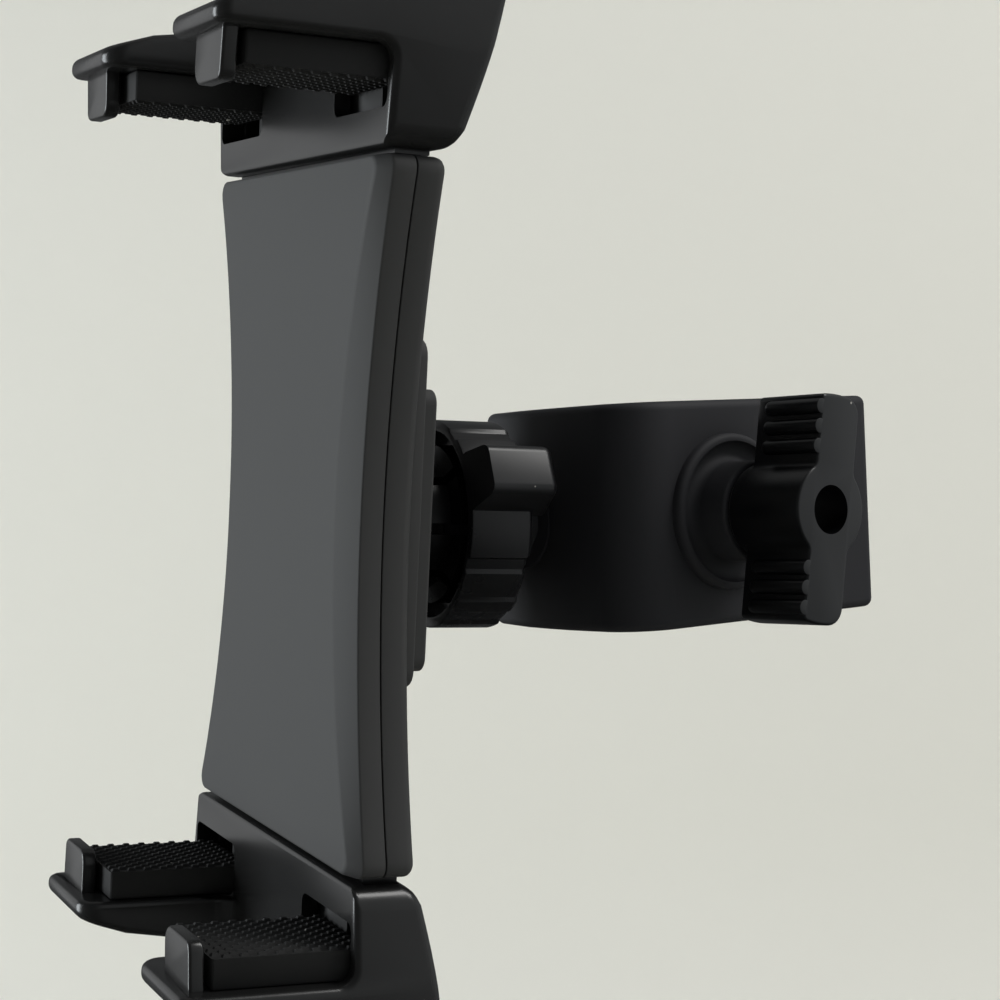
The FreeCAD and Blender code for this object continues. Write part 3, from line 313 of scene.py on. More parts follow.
class Finishes(bpy.types.PropertyGroup):
    """Colours and gloss of the pieces."""

    shell: colour("Shells", "Dark grey spark-eroded plastic", (0.014, 0.014, 0.014))
    shell_roughness: share("Shell roughness", "Roughness of the shells", 0.42)
    rub: share("Rubbed edge", "How much smoother the shells are along the edge of the face", 0.55)
    rub_depth: length("Rubbed depth", "How far behind the face the rubbed edge reaches", 0.26)
    arm: colour("Arms", "Semi-gloss black plastic", (0.006, 0.006, 0.0065))
    arm_roughness: share("Arm roughness", "Roughness of the arms", 0.36)
    clamp: colour("Clamp", "Satin black plastic", (0.0026, 0.0030, 0.0038))
    clamp_roughness: share("Clamp roughness", "Roughness of the clamp", 0.4)
    ring: colour("Ring and knob", "Glossy black plastic", (0.008, 0.008, 0.009))
    ring_roughness: share("Ring roughness", "Roughness of the ring and knob", 0.28)
    pad: colour("Grip pads", "Black rubber of the fingers' pads", (0.015, 0.015, 0.015))
    pad_roughness: share("Pad roughness", "Roughness of the fingers' pads", 0.7)
    dust: colour("Dust", "Pale dust specks", (0.42, 0.41, 0.38))
    steel: colour("Steel", "Zinc-plated steel", (0.56, 0.56, 0.55))
    wall: colour("Backdrop", "Pale warm grey of the wall and floor", (0.915, 0.905, 0.840))


class StageSizes(bpy.types.PropertyGroup):
    """Camera, light, floor and backdrop."""

    ceiling_power: level("Ceiling light", "Power of the softbox above in watts", 0.5)
    left_power: level("Left light", "Power of the softbox on the left in watts", 0.6)
    front_power: level("Front light", "Power of the softbox at the front left in watts", 9.0)
    wall_power: level("Wall light", "Power of the softbox over the backdrop in watts", 17.5)
    sky_base: level("Surroundings", "Brightness of the surroundings all round", 0.1)
    sky_left: level("Surroundings left", "Brightness added to the surroundings on the left", 0.03)
    sky_right: level("Surroundings right", "Brightness added to them behind on the right", 0.42)
    azimuth: angle("Camera azimuth", "Angle of the camera round the object", 50.5)
    elevation: angle("Camera elevation", "Angle of the camera above the horizon", 3.57)
    roll: angle("Camera roll", "Roll of the camera", -2.86)
    camera_across: length("Camera X", "Camera's place along X", 254.51)
    camera_depth: length("Camera Y", "Camera's place along Y", -253.30)
    camera_height: length("Camera Z", "Camera's place along Z", 9.06)
    lens: level("Lens", "Focal length in millimetres", 79.2)
    shift: share("Shift", "Upward shift of the picture", 0.0975)
    floor_height: length("Floor height", "Height of the floor", -450.0)
    wall_distance: length("Wall distance", "Distance of the backdrop behind the object", 900.0)
    wall_half: length("Wall half width", "Half the width of the backdrop", 1600.0)
    wall_height: length("Wall height", "Height of the backdrop above the floor", 2000.0)
    cove: length("Cove", "Radius between floor and backdrop", 250.0)


# Modelling steps, as by hand

def leave_edit():
    if bpy.context.mode != "OBJECT":
        bpy.ops.object.mode_set(mode="OBJECT")


def select_only(piece):
    """Leaves only this piece selected and active, in object mode."""
    leave_edit()
    bpy.ops.object.select_all(action="DESELECT")
    piece.select_set(True)
    bpy.context.view_layer.objects.active = piece


def edit(piece):
    select_only(piece)
    bpy.ops.object.mode_set(mode="EDIT")
    bpy.ops.mesh.select_all(action="DESELECT")


def new_piece(name):
    """An empty piece in edit mode, with its object at the origin."""
    leave_edit()
    bpy.ops.object.select_all(action="DESELECT")
    bpy.ops.mesh.primitive_plane_add(size=MM)
    piece = bpy.context.active_object
    piece.name = name
    piece.data.name = name
    bpy.ops.object.mode_set(mode="EDIT")
    bpy.ops.mesh.select_all(action="SELECT")
    bpy.ops.mesh.delete(type="VERT")
    return piece


def draw_line(points):
    """A line in the piece being edited, drawn by extruding one vertex from point to point."""
    bpy.ops.mesh.select_mode(type="VERT")
    bpy.ops.mesh.select_all(action="DESELECT")
    bpy.ops.mesh.primitive_plane_add(size=MM, location=points[0])
    bpy.ops.mesh.merge(type="CENTER")
    for here, there in zip(points, points[1:]):
        bpy.ops.mesh.extrude_region_move(TRANSFORM_OT_translate={"value": there - here})
    bpy.ops.mesh.select_linked()


def draw_outline(points):
    """A closed outline in the piece being edited, left selected."""
    draw_line(points + points[:1])
    bpy.ops.mesh.remove_doubles(threshold=HAIR)


def select_parts(kind, test):
    """Selects what passes test among the vertices, edges or faces of the piece being edited."""
    bpy.ops.mesh.select_mode(type=kind)
    bpy.ops.mesh.select_all(action="DESELECT")
    mesh = bmesh.from_edit_mesh(bpy.context.edit_object.data)
    mesh.normal_update()
    for part in {"VERT": mesh.verts, "EDGE": mesh.edges, "FACE": mesh.faces}[kind]:
        if test(part):
            part.select_set(True)
    bmesh.update_edit_mesh(bpy.context.edit_object.data)


def select_edges(test):
    """Selects the edges whose two ends pass test."""
    select_parts("EDGE", lambda edge: test(edge.verts[0].co, edge.verts[1].co))


def select_faces(test):
    """Selects the faces whose middle and normal pass test."""
    select_parts("FACE", lambda face: test(face.calc_center_median(), face.normal))


def select_sharp(test):
    """Selects the sharp edges that stand out and whose middle passes test."""
    select_parts("EDGE", lambda edge: edge.calc_face_angle_signed(0) > SHARP_ANGLE
                 and test((edge.verts[0].co + edge.verts[1].co) / 2))


def near(a, b):
    return abs(a - b) < SLIVER


def both_at(axis, place):
    """A test that an edge's two ends lie at a place along an axis, 0, 1 or 2."""
    return lambda a, b: near(a[axis], place) and near(b[axis], place)


def between_loops(axis, low, high):
    """Bridges the two outlines that lie at low and high along an axis."""
    select_edges(lambda a, b: both_at(axis, low)(a, b) or both_at(axis, high)(a, b))
    bpy.ops.mesh.bridge_edge_loops()


def fill_at(axis, place):
    select_edges(both_at(axis, place))
    bpy.ops.mesh.edge_face_add()


def face_out():
    """Turns every face of the piece being edited outwards."""
    bpy.ops.mesh.select_all(action="SELECT")
    bpy.ops.mesh.normals_make_consistent(inside=False)


def round_edges(test, width, segments=3):
    select_edges(test)
    bpy.ops.mesh.bevel(offset=width, offset_type="OFFSET", segments=segments, profile=0.5,
                       affect="EDGES", clamp_overlap=False)


def lay(points, plane, place):
    """Points of a flat outline on the plane XY, XZ or YZ, at a place along the third axis."""
    if plane == "XY":
        return [Vector((u, v, place)) for u, v in points]
    if plane == "XZ":
        return [Vector((u, place, v)) for u, v in points]
    return [Vector((place, u, v)) for u, v in points]


def slab(name, points, plane, low, high):
    """A piece with a flat outline pushed from low to high across its plane, left in edit mode."""
    normal = {"XY": Vector((0, 0, 1)), "XZ": Vector((0, 1, 0)), "YZ": Vector((1, 0, 0))}[plane]
    piece = new_piece(name)
    draw_outline(lay(points, plane, low))
    bpy.ops.mesh.edge_face_add()
    bpy.ops.mesh.extrude_region_move(TRANSFORM_OT_translate={"value": normal * (high - low)})
    face_out()
    return piece


def placed_primitive(name, make, **settings):
    """A named primitive in object mode, with its place in its mesh."""
    leave_edit()
    bpy.ops.object.select_all(action="DESELECT")
    make(**settings)
    piece = bpy.context.active_object
    piece.name = name
    bpy.ops.object.transform_apply(location=True, rotation=True, scale=True)
    return piece


def block(name, low, high):
    """A box from corner to corner, for cutting and joining."""
    low, high = Vector(low), Vector(high)
    return placed_primitive(name, bpy.ops.mesh.primitive_cube_add, size=1, location=(low + high) / 2,
                            scale=high - low)


def rod(name, radius, start, end, sides=48):
    """A round bar from point to point, for cutting and joining."""
    start, end = Vector(start), Vector(end)
    line = end - start
    return placed_primitive(name, bpy.ops.mesh.primitive_cylinder_add, vertices=sides, radius=radius,
                            depth=line.length, location=(start + end) / 2,
                            rotation=line.to_track_quat("Z", "Y").to_euler())


def turned(name, profile, axis, steps):
    """A solid spun about an axis through the origin, from a line between two points of it."""
    piece = new_piece(name)
    draw_line(profile)
    bpy.ops.mesh.select_all(action="SELECT")
    bpy.ops.mesh.spin(steps=steps, angle=2 * math.pi, center=(0, 0, 0), axis=axis)
    bpy.ops.mesh.select_all(action="SELECT")
    bpy.ops.mesh.remove_doubles(threshold=HAIR)
    bpy.ops.mesh.dissolve_degenerate(threshold=HAIR)
    face_out()
    return piece


def use_modifier(piece, kind, **settings):
    """Adds a modifier with its settings and applies it."""
    select_only(piece)
    modifier = piece.modifiers.new(kind.lower(), kind)
    for key, value in settings.items():
        setattr(modifier, key, value)
    bpy.ops.object.modifier_apply(modifier=modifier.name)


def combine(piece, other, how):
    """Adds other to the piece or cuts it out, and removes other."""
    leave_edit()
    use_modifier(piece, "BOOLEAN", operation=how, object=other, solver="EXACT")
    bpy.data.objects.remove(other)


def add(piece, other):
    combine(piece, other, "UNION")


def cut(piece, other):
    combine(piece, other, "DIFFERENCE")


def settle(piece, matrix):
    """Moves a piece by a matrix and leaves its place in its mesh."""
    select_only(piece)
    piece.matrix_world = matrix
    bpy.ops.object.transform_apply(location=True, rotation=True, scale=True)


def copy_of(piece, name):
    """A copy of the piece with a mesh of its own."""
    select_only(piece)
    bpy.ops.object.duplicate()
    copied = bpy.context.active_object
    copied.name = name
    copied.data.name = name
    return copied


def mirror_across(piece):
    """Turns a piece into its mirror image across the cradle's width."""
    edit(piece)
    bpy.ops.mesh.select_all(action="SELECT")
    bpy.ops.transform.resize(value=(-1, 1, 1), center_override=(0, 0, 0))
    face_out()
    leave_edit()


def finish(piece, body, material, replaced, smooth=35):
    """Shades, dresses and binds a finished piece."""
    select_only(piece)
    bpy.ops.object.shade_smooth_by_angle(angle=math.radians(smooth))
    piece.data.materials.clear()
    piece.data.materials.append(material)
    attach(piece, body)
    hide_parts(*replaced)


def tidy_mesh(piece):
    """Merges doubled points and turns the faces outwards after the cuts."""
    edit(piece)
    bpy.ops.mesh.select_all(action="SELECT")
    bpy.ops.mesh.remove_doubles(threshold=2 * HAIR)
    bpy.ops.mesh.dissolve_degenerate(threshold=HAIR)
    face_out()
    leave_edit()


# Outlines

def arc(centre, radius, start, end, steps):
    """Points of an arc in degrees, both ends with it."""
    return [(centre[0] + radius * math.cos(math.radians(start + (end - start) * k / steps)),
             centre[1] + radius * math.sin(math.radians(start + (end - start) * k / steps)))
            for k in range(steps + 1)]


def rounded_box(left, low, right, high, corners, steps=5):
    """A box outline with a radius for each corner, from the lower left one round by the right."""
    a, b, c, d = corners
    return (arc((left + a, low + a), a, 180, 270, steps) + arc((right - b, low + b), b, 270, 360, steps)
            + arc((right - c, high - c), c, 0, 90, steps) + arc((left + d, high - d), d, 90, 180, steps))


def waisted(end_half, waist_half, half_height, corner, side_steps=26, corner_steps=4):
    """An outline with straight ends, sides that are arcs bowing in, and round corners that touch both."""
    side_x = (end_half ** 2 + half_height ** 2 - waist_half ** 2) / (2 * (end_half - waist_half))
    side_radius = side_x - waist_half
    round_z = half_height - corner
    round_x = side_x - math.sqrt((side_radius + corner) ** 2 - round_z ** 2)
    lean = math.degrees(math.atan2(round_z, side_x - round_x))
    quarter = [(side_x - side_radius * math.cos(math.radians(lean * k / side_steps)),
                side_radius * math.sin(math.radians(lean * k / side_steps))) for k in range(side_steps)]
    quarter += arc((round_x, round_z), corner, -lean, 90, corner_steps)
    right_up = quarter
    left_up = [(-x, z) for x, z in reversed(quarter)]
    left_down = [(-x, -z) for x, z in quarter][1:]
    right_down = [(x, -z) for x, z in reversed(quarter)][:-1]
    return right_up + left_up + left_down + right_down


# Shader node groups

def new_group(name, inputs, outputs):
    """A shader node group with its sockets, and its two ends."""
    group = bpy.data.node_groups.new(name, "ShaderNodeTree")
    for socket, kind, value in inputs:
        made = group.interface.new_socket(name=socket, in_out="INPUT", socket_type=kind)
        if value is not None:
            made.default_value = value
    for socket, kind in outputs:
        group.interface.new_socket(name=socket, in_out="OUTPUT", socket_type=kind)
    start = group.nodes.new("NodeGroupInput")
    end = group.nodes.new("NodeGroupOutput")
    return group, start, end


def math_node(tree, operation, a, b, clamp=False):
    """A Math node on two values or sockets."""
    node = tree.nodes.new("ShaderNodeMath")
    node.operation = operation
    node.use_clamp = clamp
    for socket, value in zip(node.inputs, (a, b)):
        if isinstance(value, (int, float)):
            socket.default_value = value
        else:
            tree.links.new(value, socket)
    return node.outputs[0]


def texture(tree, kind, vector, scale, **values):
    """A texture node read at a vector, with its scale and other values."""
    node = tree.nodes.new(kind)
    tree.links.new(vector, node.inputs["Vector"])
    node.inputs["Scale"].default_value = scale
    for name, value in values.items():
        node.inputs[name].default_value = value
    return node


def dust_group():
    """Mask of sparse dust specks: a few cells of a fine pattern hold a round dot of their own size."""
    group, start, end = new_group("dust_specks", [("Vector", "NodeSocketVector", None),
                                                  ("Amount", "NodeSocketFloat", 0.1)],
                                  [("Mask", "NodeSocketFloat")])
    largest_dot = 0.13
    cells = texture(group, "ShaderNodeTexVoronoi", start.outputs["Vector"], scale=420.0)
    split = group.nodes.new("ShaderNodeSeparateColor")
    group.links.new(cells.outputs["Color"], split.inputs[0])
    chosen = math_node(group, "LESS_THAN", split.outputs[0], start.outputs["Amount"])
    size = math_node(group, "MULTIPLY", split.outputs[1], largest_dot)
    dot = math_node(group, "LESS_THAN", cells.outputs["Distance"], size)
    group.links.new(math_node(group, "MULTIPLY", chosen, dot), end.inputs["Mask"])
    return group


def grain_group():
    """Height of a fine moulded grain, from two sizes of noise."""
    group, start, end = new_group("moulded_grain", [("Vector", "NodeSocketVector", None),
                                                    ("Coarse", "NodeSocketFloat", 0.4)],
                                  [("Height", "NodeSocketFloat")])
    fine = texture(group, "ShaderNodeTexNoise", start.outputs["Vector"], scale=9000.0, Detail=2.0)
    coarse = texture(group, "ShaderNodeTexNoise", start.outputs["Vector"], scale=3200.0, Detail=2.0)
    weighted = math_node(group, "MULTIPLY", coarse.outputs["Fac"], start.outputs["Coarse"])
    group.links.new(math_node(group, "ADD", fine.outputs["Fac"], weighted), end.inputs["Height"])
    return group


def handling_group():
    """Roughness with soft smudges from handling."""
    group, start, end = new_group("handling", [("Vector", "NodeSocketVector", None),
                                               ("Base", "NodeSocketFloat", 0.4),
                                               ("Change", "NodeSocketFloat", 0.1)],
                                  [("Roughness", "NodeSocketFloat")])
    noise_middle = 0.5
    smudge = texture(group, "ShaderNodeTexNoise", start.outputs["Vector"], scale=45.0, Detail=4.0,
                     Roughness=0.6)
    centred = math_node(group, "SUBTRACT", smudge.outputs["Fac"], noise_middle)
    scaled = math_node(group, "MULTIPLY", centred, start.outputs["Change"])
    total = math_node(group, "ADD", scaled, start.outputs["Base"], clamp=True)
    group.links.new(total, end.inputs["Roughness"])
    return group


def group_node(tree, group, vector, **values):
    node = tree.nodes.new("ShaderNodeGroup")
    node.node_tree = group
    tree.links.new(vector, node.inputs["Vector"])
    for name, value in values.items():
        node.inputs[name].default_value = value
    return node


def new_material(name):
    """A material with its node tree, its Principled shader and the object's coordinates."""
    material = bpy.data.materials.new(name)
    material.use_nodes = True
    tree = material.node_tree
    place = tree.nodes.new("ShaderNodeTexCoord").outputs["Object"]
    return material, tree, tree.nodes["Principled BSDF"], place


def blend_colour(tree, factor, base, other):
    """A colour that goes from base to other by a factor."""
    node = tree.nodes.new("ShaderNodeMix")
    node.data_type = "RGBA"
    tree.links.new(factor, node.inputs["Factor"])
    for socket, value in ((node.inputs["A"], base), (node.inputs["B"], other)):
        if isinstance(value, bpy.types.NodeSocket):
            tree.links.new(value, socket)
        else:
            socket.default_value = (*value, 1)
    return node.outputs["Result"]


def bump(tree, shader, height, strength, distance):
    node = tree.nodes.new("ShaderNodeBump")
    node.inputs["Strength"].default_value = strength
    node.inputs["Distance"].default_value = distance
    tree.links.new(height, node.inputs["Height"])
    tree.links.new(node.outputs["Normal"], shader.inputs["Normal"])
    return node


def moulded(name, base, roughness, change, grain, coarse, dust=0.0, specular=0.5, relief=0.02):
    """A moulded plastic or rubber with grain, smudges, mottling and dust, made once by its name."""
    if name in bpy.data.materials:
        return bpy.data.materials[name]
    material, tree, shader, place = new_material(name)
    mottle = texture(tree, "ShaderNodeTexNoise", place, scale=130.0, Detail=3.0)
    lighter = tuple(min(1.0, 1.35 * c + 0.001) for c in base)
    body = blend_colour(tree, mottle.outputs["Fac"], base, lighter)
    specks = group_node(tree, shared("dust_specks"), place, Amount=dust)
    dusty = blend_colour(tree, specks.outputs["Mask"], body, finishes().dust)
    tree.links.new(dusty, shader.inputs["Base Color"])
    worn = group_node(tree, shared("handling"), place, Base=roughness, Change=change)
    rough = math_node(tree, "MAXIMUM", worn.outputs["Roughness"], specks.outputs["Mask"])
    tree.links.new(rough, shader.inputs["Roughness"])
    shader.inputs["Specular IOR Level"].default_value = specular
    surface = group_node(tree, shared("moulded_grain"), place, Coarse=coarse)
    bump(tree, shader, surface.outputs["Height"], grain, relief * MM)
    return material


def shared(name):
    """A node group by name, built the first time that it is asked for."""
    builders = {"dust_specks": dust_group, "moulded_grain": grain_group, "handling": handling_group}
    return bpy.data.node_groups.get(name) or builders[name]()


def finishes():
    return bpy.context.scene.holder_finishes


def along(tree, place, direction):
    """How far a place lies along a direction."""
    node = tree.nodes.new("ShaderNodeVectorMath")
    node.operation = "DOT_PRODUCT"
    tree.links.new(place, node.inputs[0])
    node.inputs[1].default_value = direction
    return node.outputs["Value"]


def shell_plastic():
    """Dark grey plastic with a fine spark-eroded texture, rubbed smooth along the edge of the face."""
    if "shell_plastic" in bpy.data.materials:
        return bpy.data.materials["shell_plastic"]
    look = finishes()
    material = moulded("shell_plastic", tuple(look.shell), look.shell_roughness, change=0.10, grain=0.8,
                       coarse=2.0, dust=0.05, specular=0.45, relief=0.12)
    tree = material.node_tree
    rough = tree.nodes["Principled BSDF"].inputs["Roughness"]
    place = tree.nodes.new("ShaderNodeTexCoord").outputs["Object"]
    inward = joint_axis("ball_roll")
    face_depth = inward.dot(Vector(MOUNTS["tablet_face"]["pos_m"]))
    behind = math_node(tree, "SUBTRACT", along(tree, place, inward), face_depth)
    rubbed = math_node(tree, "COMPARE", behind, look.rub_depth / 2)
    half_band = 0.44 * look.rub_depth
    rubbed.node.inputs[2].default_value = half_band
    left = math_node(tree, "SUBTRACT", 1.0, math_node(tree, "MULTIPLY", rubbed, look.rub))
    tree.links.new(math_node(tree, "MULTIPLY", rough.links[0].from_socket, left), rough)
    return material


def arm_plastic():
    look = finishes()
    return moulded("arm_plastic", tuple(look.arm), look.arm_roughness, change=0.14, grain=0.16,
                   coarse=0.5, dust=0.06)


def clamp_plastic():
    look = finishes()
    return moulded("clamp_plastic", tuple(look.clamp), look.clamp_roughness, change=0.16, grain=0.22,
                   coarse=0.6, dust=0.02, specular=0.38)


def glossy_plastic():
    look = finishes()
    return moulded("glossy_plastic", tuple(look.ring), look.ring_roughness, change=0.16, grain=0.08,
                   coarse=0.3, dust=0.05, specular=0.42)


def knob_plastic():
    return moulded("knob_plastic", tuple(finishes().clamp), roughness=0.3, change=0.14, grain=0.25,
                   coarse=0.6, dust=0.05, specular=0.62)


def shade_darkened_socket_plastic():
    # Painted shade: the socket and collet get a fifth of the ring's colour to stand in for the shadow
    # inside the ring
    darker = tuple(0.2 * c for c in finishes().ring)
    return moulded("shade_darkened_socket_plastic", darker, roughness=0.28, change=0.1, grain=0.1, coarse=0.4,
                   specular=0.2)


def pad_rubber():
    look = finishes()
    return moulded("pad_rubber", tuple(look.pad), look.pad_roughness, change=0.18, grain=0.6,
                   coarse=1.2, dust=0.16, specular=0.36)


def slide_plastic():
    return moulded("slide_plastic", tuple(finishes().arm), roughness=0.3, change=0.1, grain=0.05,
                   coarse=0.3)


def jaw_rubber():
    return moulded("jaw_rubber", tuple(finishes().pad), roughness=0.75, change=0.1, grain=0.5,
                   coarse=1.0, dust=0.05, specular=0.35)


def plated_steel(name, base, roughness):
    """Steel with a fine grain and a slight cloudiness."""
    material, tree, shader, place = new_material(name)
    cloud = texture(tree, "ShaderNodeTexNoise", place, scale=260.0, Detail=3.0)
    darker = tuple(0.8 * c for c in base)
    tree.links.new(blend_colour(tree, cloud.outputs["Fac"], darker, base), shader.inputs["Base Color"])
    shader.inputs["Metallic"].default_value = 1.0
    worn = group_node(tree, shared("handling"), place, Base=roughness, Change=0.15)
    tree.links.new(worn.outputs["Roughness"], shader.inputs["Roughness"])
    lines = texture(tree, "ShaderNodeTexNoise", place, scale=5200.0, Detail=2.0)
    bump(tree, shader, lines.outputs["Fac"], strength=0.2, distance=0.01 * MM)
    return material


def wall_paint():
    """Pale paint with very soft cloudiness for the floor and backdrop."""
    material, tree, shader, place = new_material("wall_paint")
    cloud = texture(tree, "ShaderNodeTexNoise", place, scale=2.2, Detail=3.0, Roughness=0.45)
    base = tuple(finishes().wall)
    darker = tuple(0.955 * c for c in base)
    tree.links.new(blend_colour(tree, cloud.outputs["Fac"], darker, base), shader.inputs["Base Color"])
    shader.inputs["Roughness"].default_value = 0.9
    fine = texture(tree, "ShaderNodeTexNoise", place, scale=60.0, Detail=4.0)
    bump(tree, shader, fine.outputs["Fac"], strength=0.15, distance=1.0 * MM)
    return material


# Cradle

WAY_REACH = 4 * MM
STEP_ROUND = 0.45 * MM
SHELL_SCREW_INSET = 6.6 * MM
SHELL_SCREW_DROP = 8.3 * MM
SHELL_SCREW_HEAD = 2.1 * MM
SHELL_SCREW_RECESS = 1.2 * MM


def slide_ways(slides, top, low_end):
    """Cutters for the slides' ways: two legs through the top wall and one tongue through the bottom."""
    ways = [block("way", (side * slides.leg_inner, slides.front, top - WAY_REACH),
                  (side * slides.leg_outer, slides.back, top + OVERSHOOT)) for side in (-1, 1)]
    ways.append(block("way", (-slides.tongue_half, slides.front, low_end - OVERSHOOT),
                      (slides.tongue_half, slides.back, low_end + WAY_REACH)))
    return ways


def thicken(piece, wall):
    """Gives a shell's outer skin its wall, inwards, and goes back to edit mode."""
    face_out()
    use_modifier(piece, "SOLIDIFY", thickness=wall, offset=-1, use_even_offset=True)
    edit(piece)


def front_casing(cradle, slides):
    """The front shell: flat face, sloping band, side and an open back."""
    seam = cradle.seam_depth - cradle.seam_gap / 2
    face = waisted(cradle.face_end_half, cradle.face_waist_half, cradle.face_half_height, cradle.corner)
    rim = waisted(cradle.end_half, cradle.waist_half, cradle.half_height, cradle.corner)
    piece = new_piece("front_casing")
    draw_outline(lay(face, "XZ", 0))
    draw_outline(lay(rim, "XZ", cradle.bevel_depth))
    draw_outline(lay(rim, "XZ", seam))
    between_loops(1, 0, cradle.bevel_depth)
    between_loops(1, cradle.bevel_depth, seam)
    fill_at(1, 0)
    thicken(piece, cradle.wall)
    outside = rim_test(rim)
    round_edges(both_at(1, 0), cradle.face_round, 4)
    round_edges(lambda a, b: both_at(1, cradle.bevel_depth)(a, b) and outside(a, b), cradle.rim_round, 4)
    round_edges(lambda a, b: both_at(1, seam)(a, b) and outside(a, b), cradle.seam_gap / 2, 2)
    for way in slide_ways(slides, cradle.half_height, -cradle.half_height):
        cut(piece, way)
    tidy_mesh(piece)
    return piece


def rim_test(outline):
    """A test that an edge's two ends lie on an outline across and up."""
    spots = {(round(u / MM, 2), round(v / MM, 2)) for u, v in outline}
    return lambda a, b: all((round(p.x / MM, 2), round(p.z / MM, 2)) in spots for p in (a, b))


def rear_casing(cradle, slides):
    """The rear shell with the raised step on its back."""
    seam = cradle.seam_depth + cradle.seam_gap / 2
    rim = waisted(cradle.end_half, cradle.waist_half, cradle.half_height, cradle.corner)
    piece = new_piece("rear_casing")
    draw_outline(lay(rim, "XZ", seam))
    draw_outline(lay(rim, "XZ", cradle.depth))
    between_loops(1, seam, cradle.depth)
    fill_at(1, cradle.depth)
    thicken(piece, cradle.wall)
    outside = rim_test(rim)
    round_edges(lambda a, b: both_at(1, cradle.depth)(a, b) and outside(a, b), cradle.back_round, 4)
    round_edges(lambda a, b: both_at(1, seam)(a, b) and outside(a, b), cradle.seam_gap / 2, 2)
    step_back = cradle.depth + cradle.step_depth
    outline = rounded_box(-cradle.step_half, cradle.step_bottom, cradle.step_half, cradle.step_top,
                          (cradle.step_corner,) * 4)
    step = slab("step", outline, "XZ", cradle.depth - OVERSHOOT, step_back)
    round_edges(both_at(1, step_back), STEP_ROUND)
    add(piece, step)
    screw_x = cradle.end_half - SHELL_SCREW_INSET
    screw_z = cradle.half_height - SHELL_SCREW_DROP
    for x in (-screw_x, screw_x):
        for z in (-screw_z, screw_z):
            cut(piece, rod("head", SHELL_SCREW_HEAD, (x, cradle.depth - SHELL_SCREW_RECESS, z),
                           (x, cradle.depth + OVERSHOOT, z), 32))
    for way in slide_ways(slides, cradle.half_height, -cradle.half_height):
        cut(piece, way)
    tidy_mesh(piece)
    return piece


class HOLDER_OT_shells(bpy.types.Operator):
    """Models the cradle's front and rear shells"""

    bl_idname = "holder.shells"
    bl_label = "Shells"

    def execute(self, context):
        cradle = context.scene.holder_cradle
        slides = context.scene.holder_slides
        plastic = shell_plastic()
        for make, node in ((front_casing, "front_shell"), (rear_casing, "rear_shell")):
            piece = make(cradle, slides)
            settle(piece, ON_CRADLE)
            finish(piece, "cradle", plastic, [node], 28)
        return {"FINISHED"}


# Arms

FINGER_BITE = 1.4 * MM  # how far a finger's root reaches into the arm
HIDDEN_CORNER = 0.2 * MM  # corners of a lip inside its finger
SLOT_LEDGE_CORNER = 0.1 * MM
SLOT_OUTER_MARGIN = 0.3 * MM
SKIRT_RISE = 2.4 * MM
CAVITY_OPENING = 2 * MM  # how far the cavity reaches out of the arm's start
EDGE_REACH = 0.1 * MM  # how far past a face an edge still belongs to it
BLOCK_REACH = 0.3 * MM
FLAT_ANGLE = math.radians(0.5)
LEVEL_DIGITS = 5


def arm_profile(arm, back_start, back_end, inset=0.0, start_shift=0.0):
    """The arm's outline seen from its side: depth and height, with a back that leans and bows out."""
    steps = 8
    low, high = arm.start + start_shift, arm.end - inset
    back = [(back_start + (back_end - back_start) * k / steps
             + arm.back_bulge * math.sin(math.pi * k / steps) - inset, low + (high - low) * k / steps)
            for k in range(steps + 1)]
    return [(arm.front + inset, high), (arm.front + inset, low + arm.start_slant)] + back


def finger_plan(arm, side):
    """A finger's outline seen from above, with a rounded tip and a hollow at its root."""
    root = arm.front + FINGER_BITE
    web_x = arm.finger_inner - arm.web
    inner, outer = arm.tip_inner_corner, arm.tip_outer_corner
    points = [(web_x, root)]
    points += arc((web_x, arm.front - arm.web), arm.web, 90, 0, 6)
    points += arc((arm.finger_inner + inner, arm.finger_tip + inner), inner, 180, 270, 7)
    points += arc((arm.half - outer, arm.finger_tip + outer), outer, 270, 360, 6)
    points += [(arm.half, root)]
    return [(side * x, y) for x, y in points]


def slice_off(start, end):
    """Cuts the piece being edited along the plane through two points of its side view."""
    slope = Vector((0, start[1] - end[1], end[0] - start[0])).normalized()
    bpy.ops.mesh.select_all(action="SELECT")
    bpy.ops.mesh.bisect(plane_co=(0, *start), plane_no=slope, use_fill=True, clear_outer=True)


def finger(arm, side):
    """A finger with its sloping outer side, the lip at its tip and the hollow under its root."""
    piece = slab("finger", finger_plan(arm, side), "XY", arm.ledge,
                 arm.ledge + arm.root_thickness + 2 * OVERSHOOT)
    tip = (arm.finger_tip, arm.ledge + arm.tip_thickness)
    shoulder = (arm.finger_tip + arm.shoulder, arm.ledge + arm.shoulder_thickness)
    root = (arm.front, arm.ledge + arm.root_thickness)
    slice_off(tip, shoulder)
    slice_off(shoulder, root)
    face_out()
    low = arm.ledge - arm.lip_height
    outline = rounded_box(arm.lip_inner, low, arm.lip_outer, arm.ledge + OVERSHOOT,
                          (arm.lip_inner_corner, arm.lip_outer_corner, HIDDEN_CORNER, HIDDEN_CORNER))
    lip = slab("lip", [(side * x, z) for x, z in outline], "XZ", arm.lip_front, arm.lip_back)
    add(piece, lip)
    radius, inside = arm.gusset, 0.5 * MM
    hollow = [(arm.front + inside, arm.ledge - radius), (arm.front + inside, arm.ledge + inside),
              (arm.front - radius, arm.ledge + inside)]
    hollow += arc((arm.front - radius, arm.ledge - radius), radius, 90, 0, 6)
    sides = sorted((side * arm.finger_inner, side * arm.half))
    add(piece, slab("gusset", hollow, "YZ", *sides))
    return piece


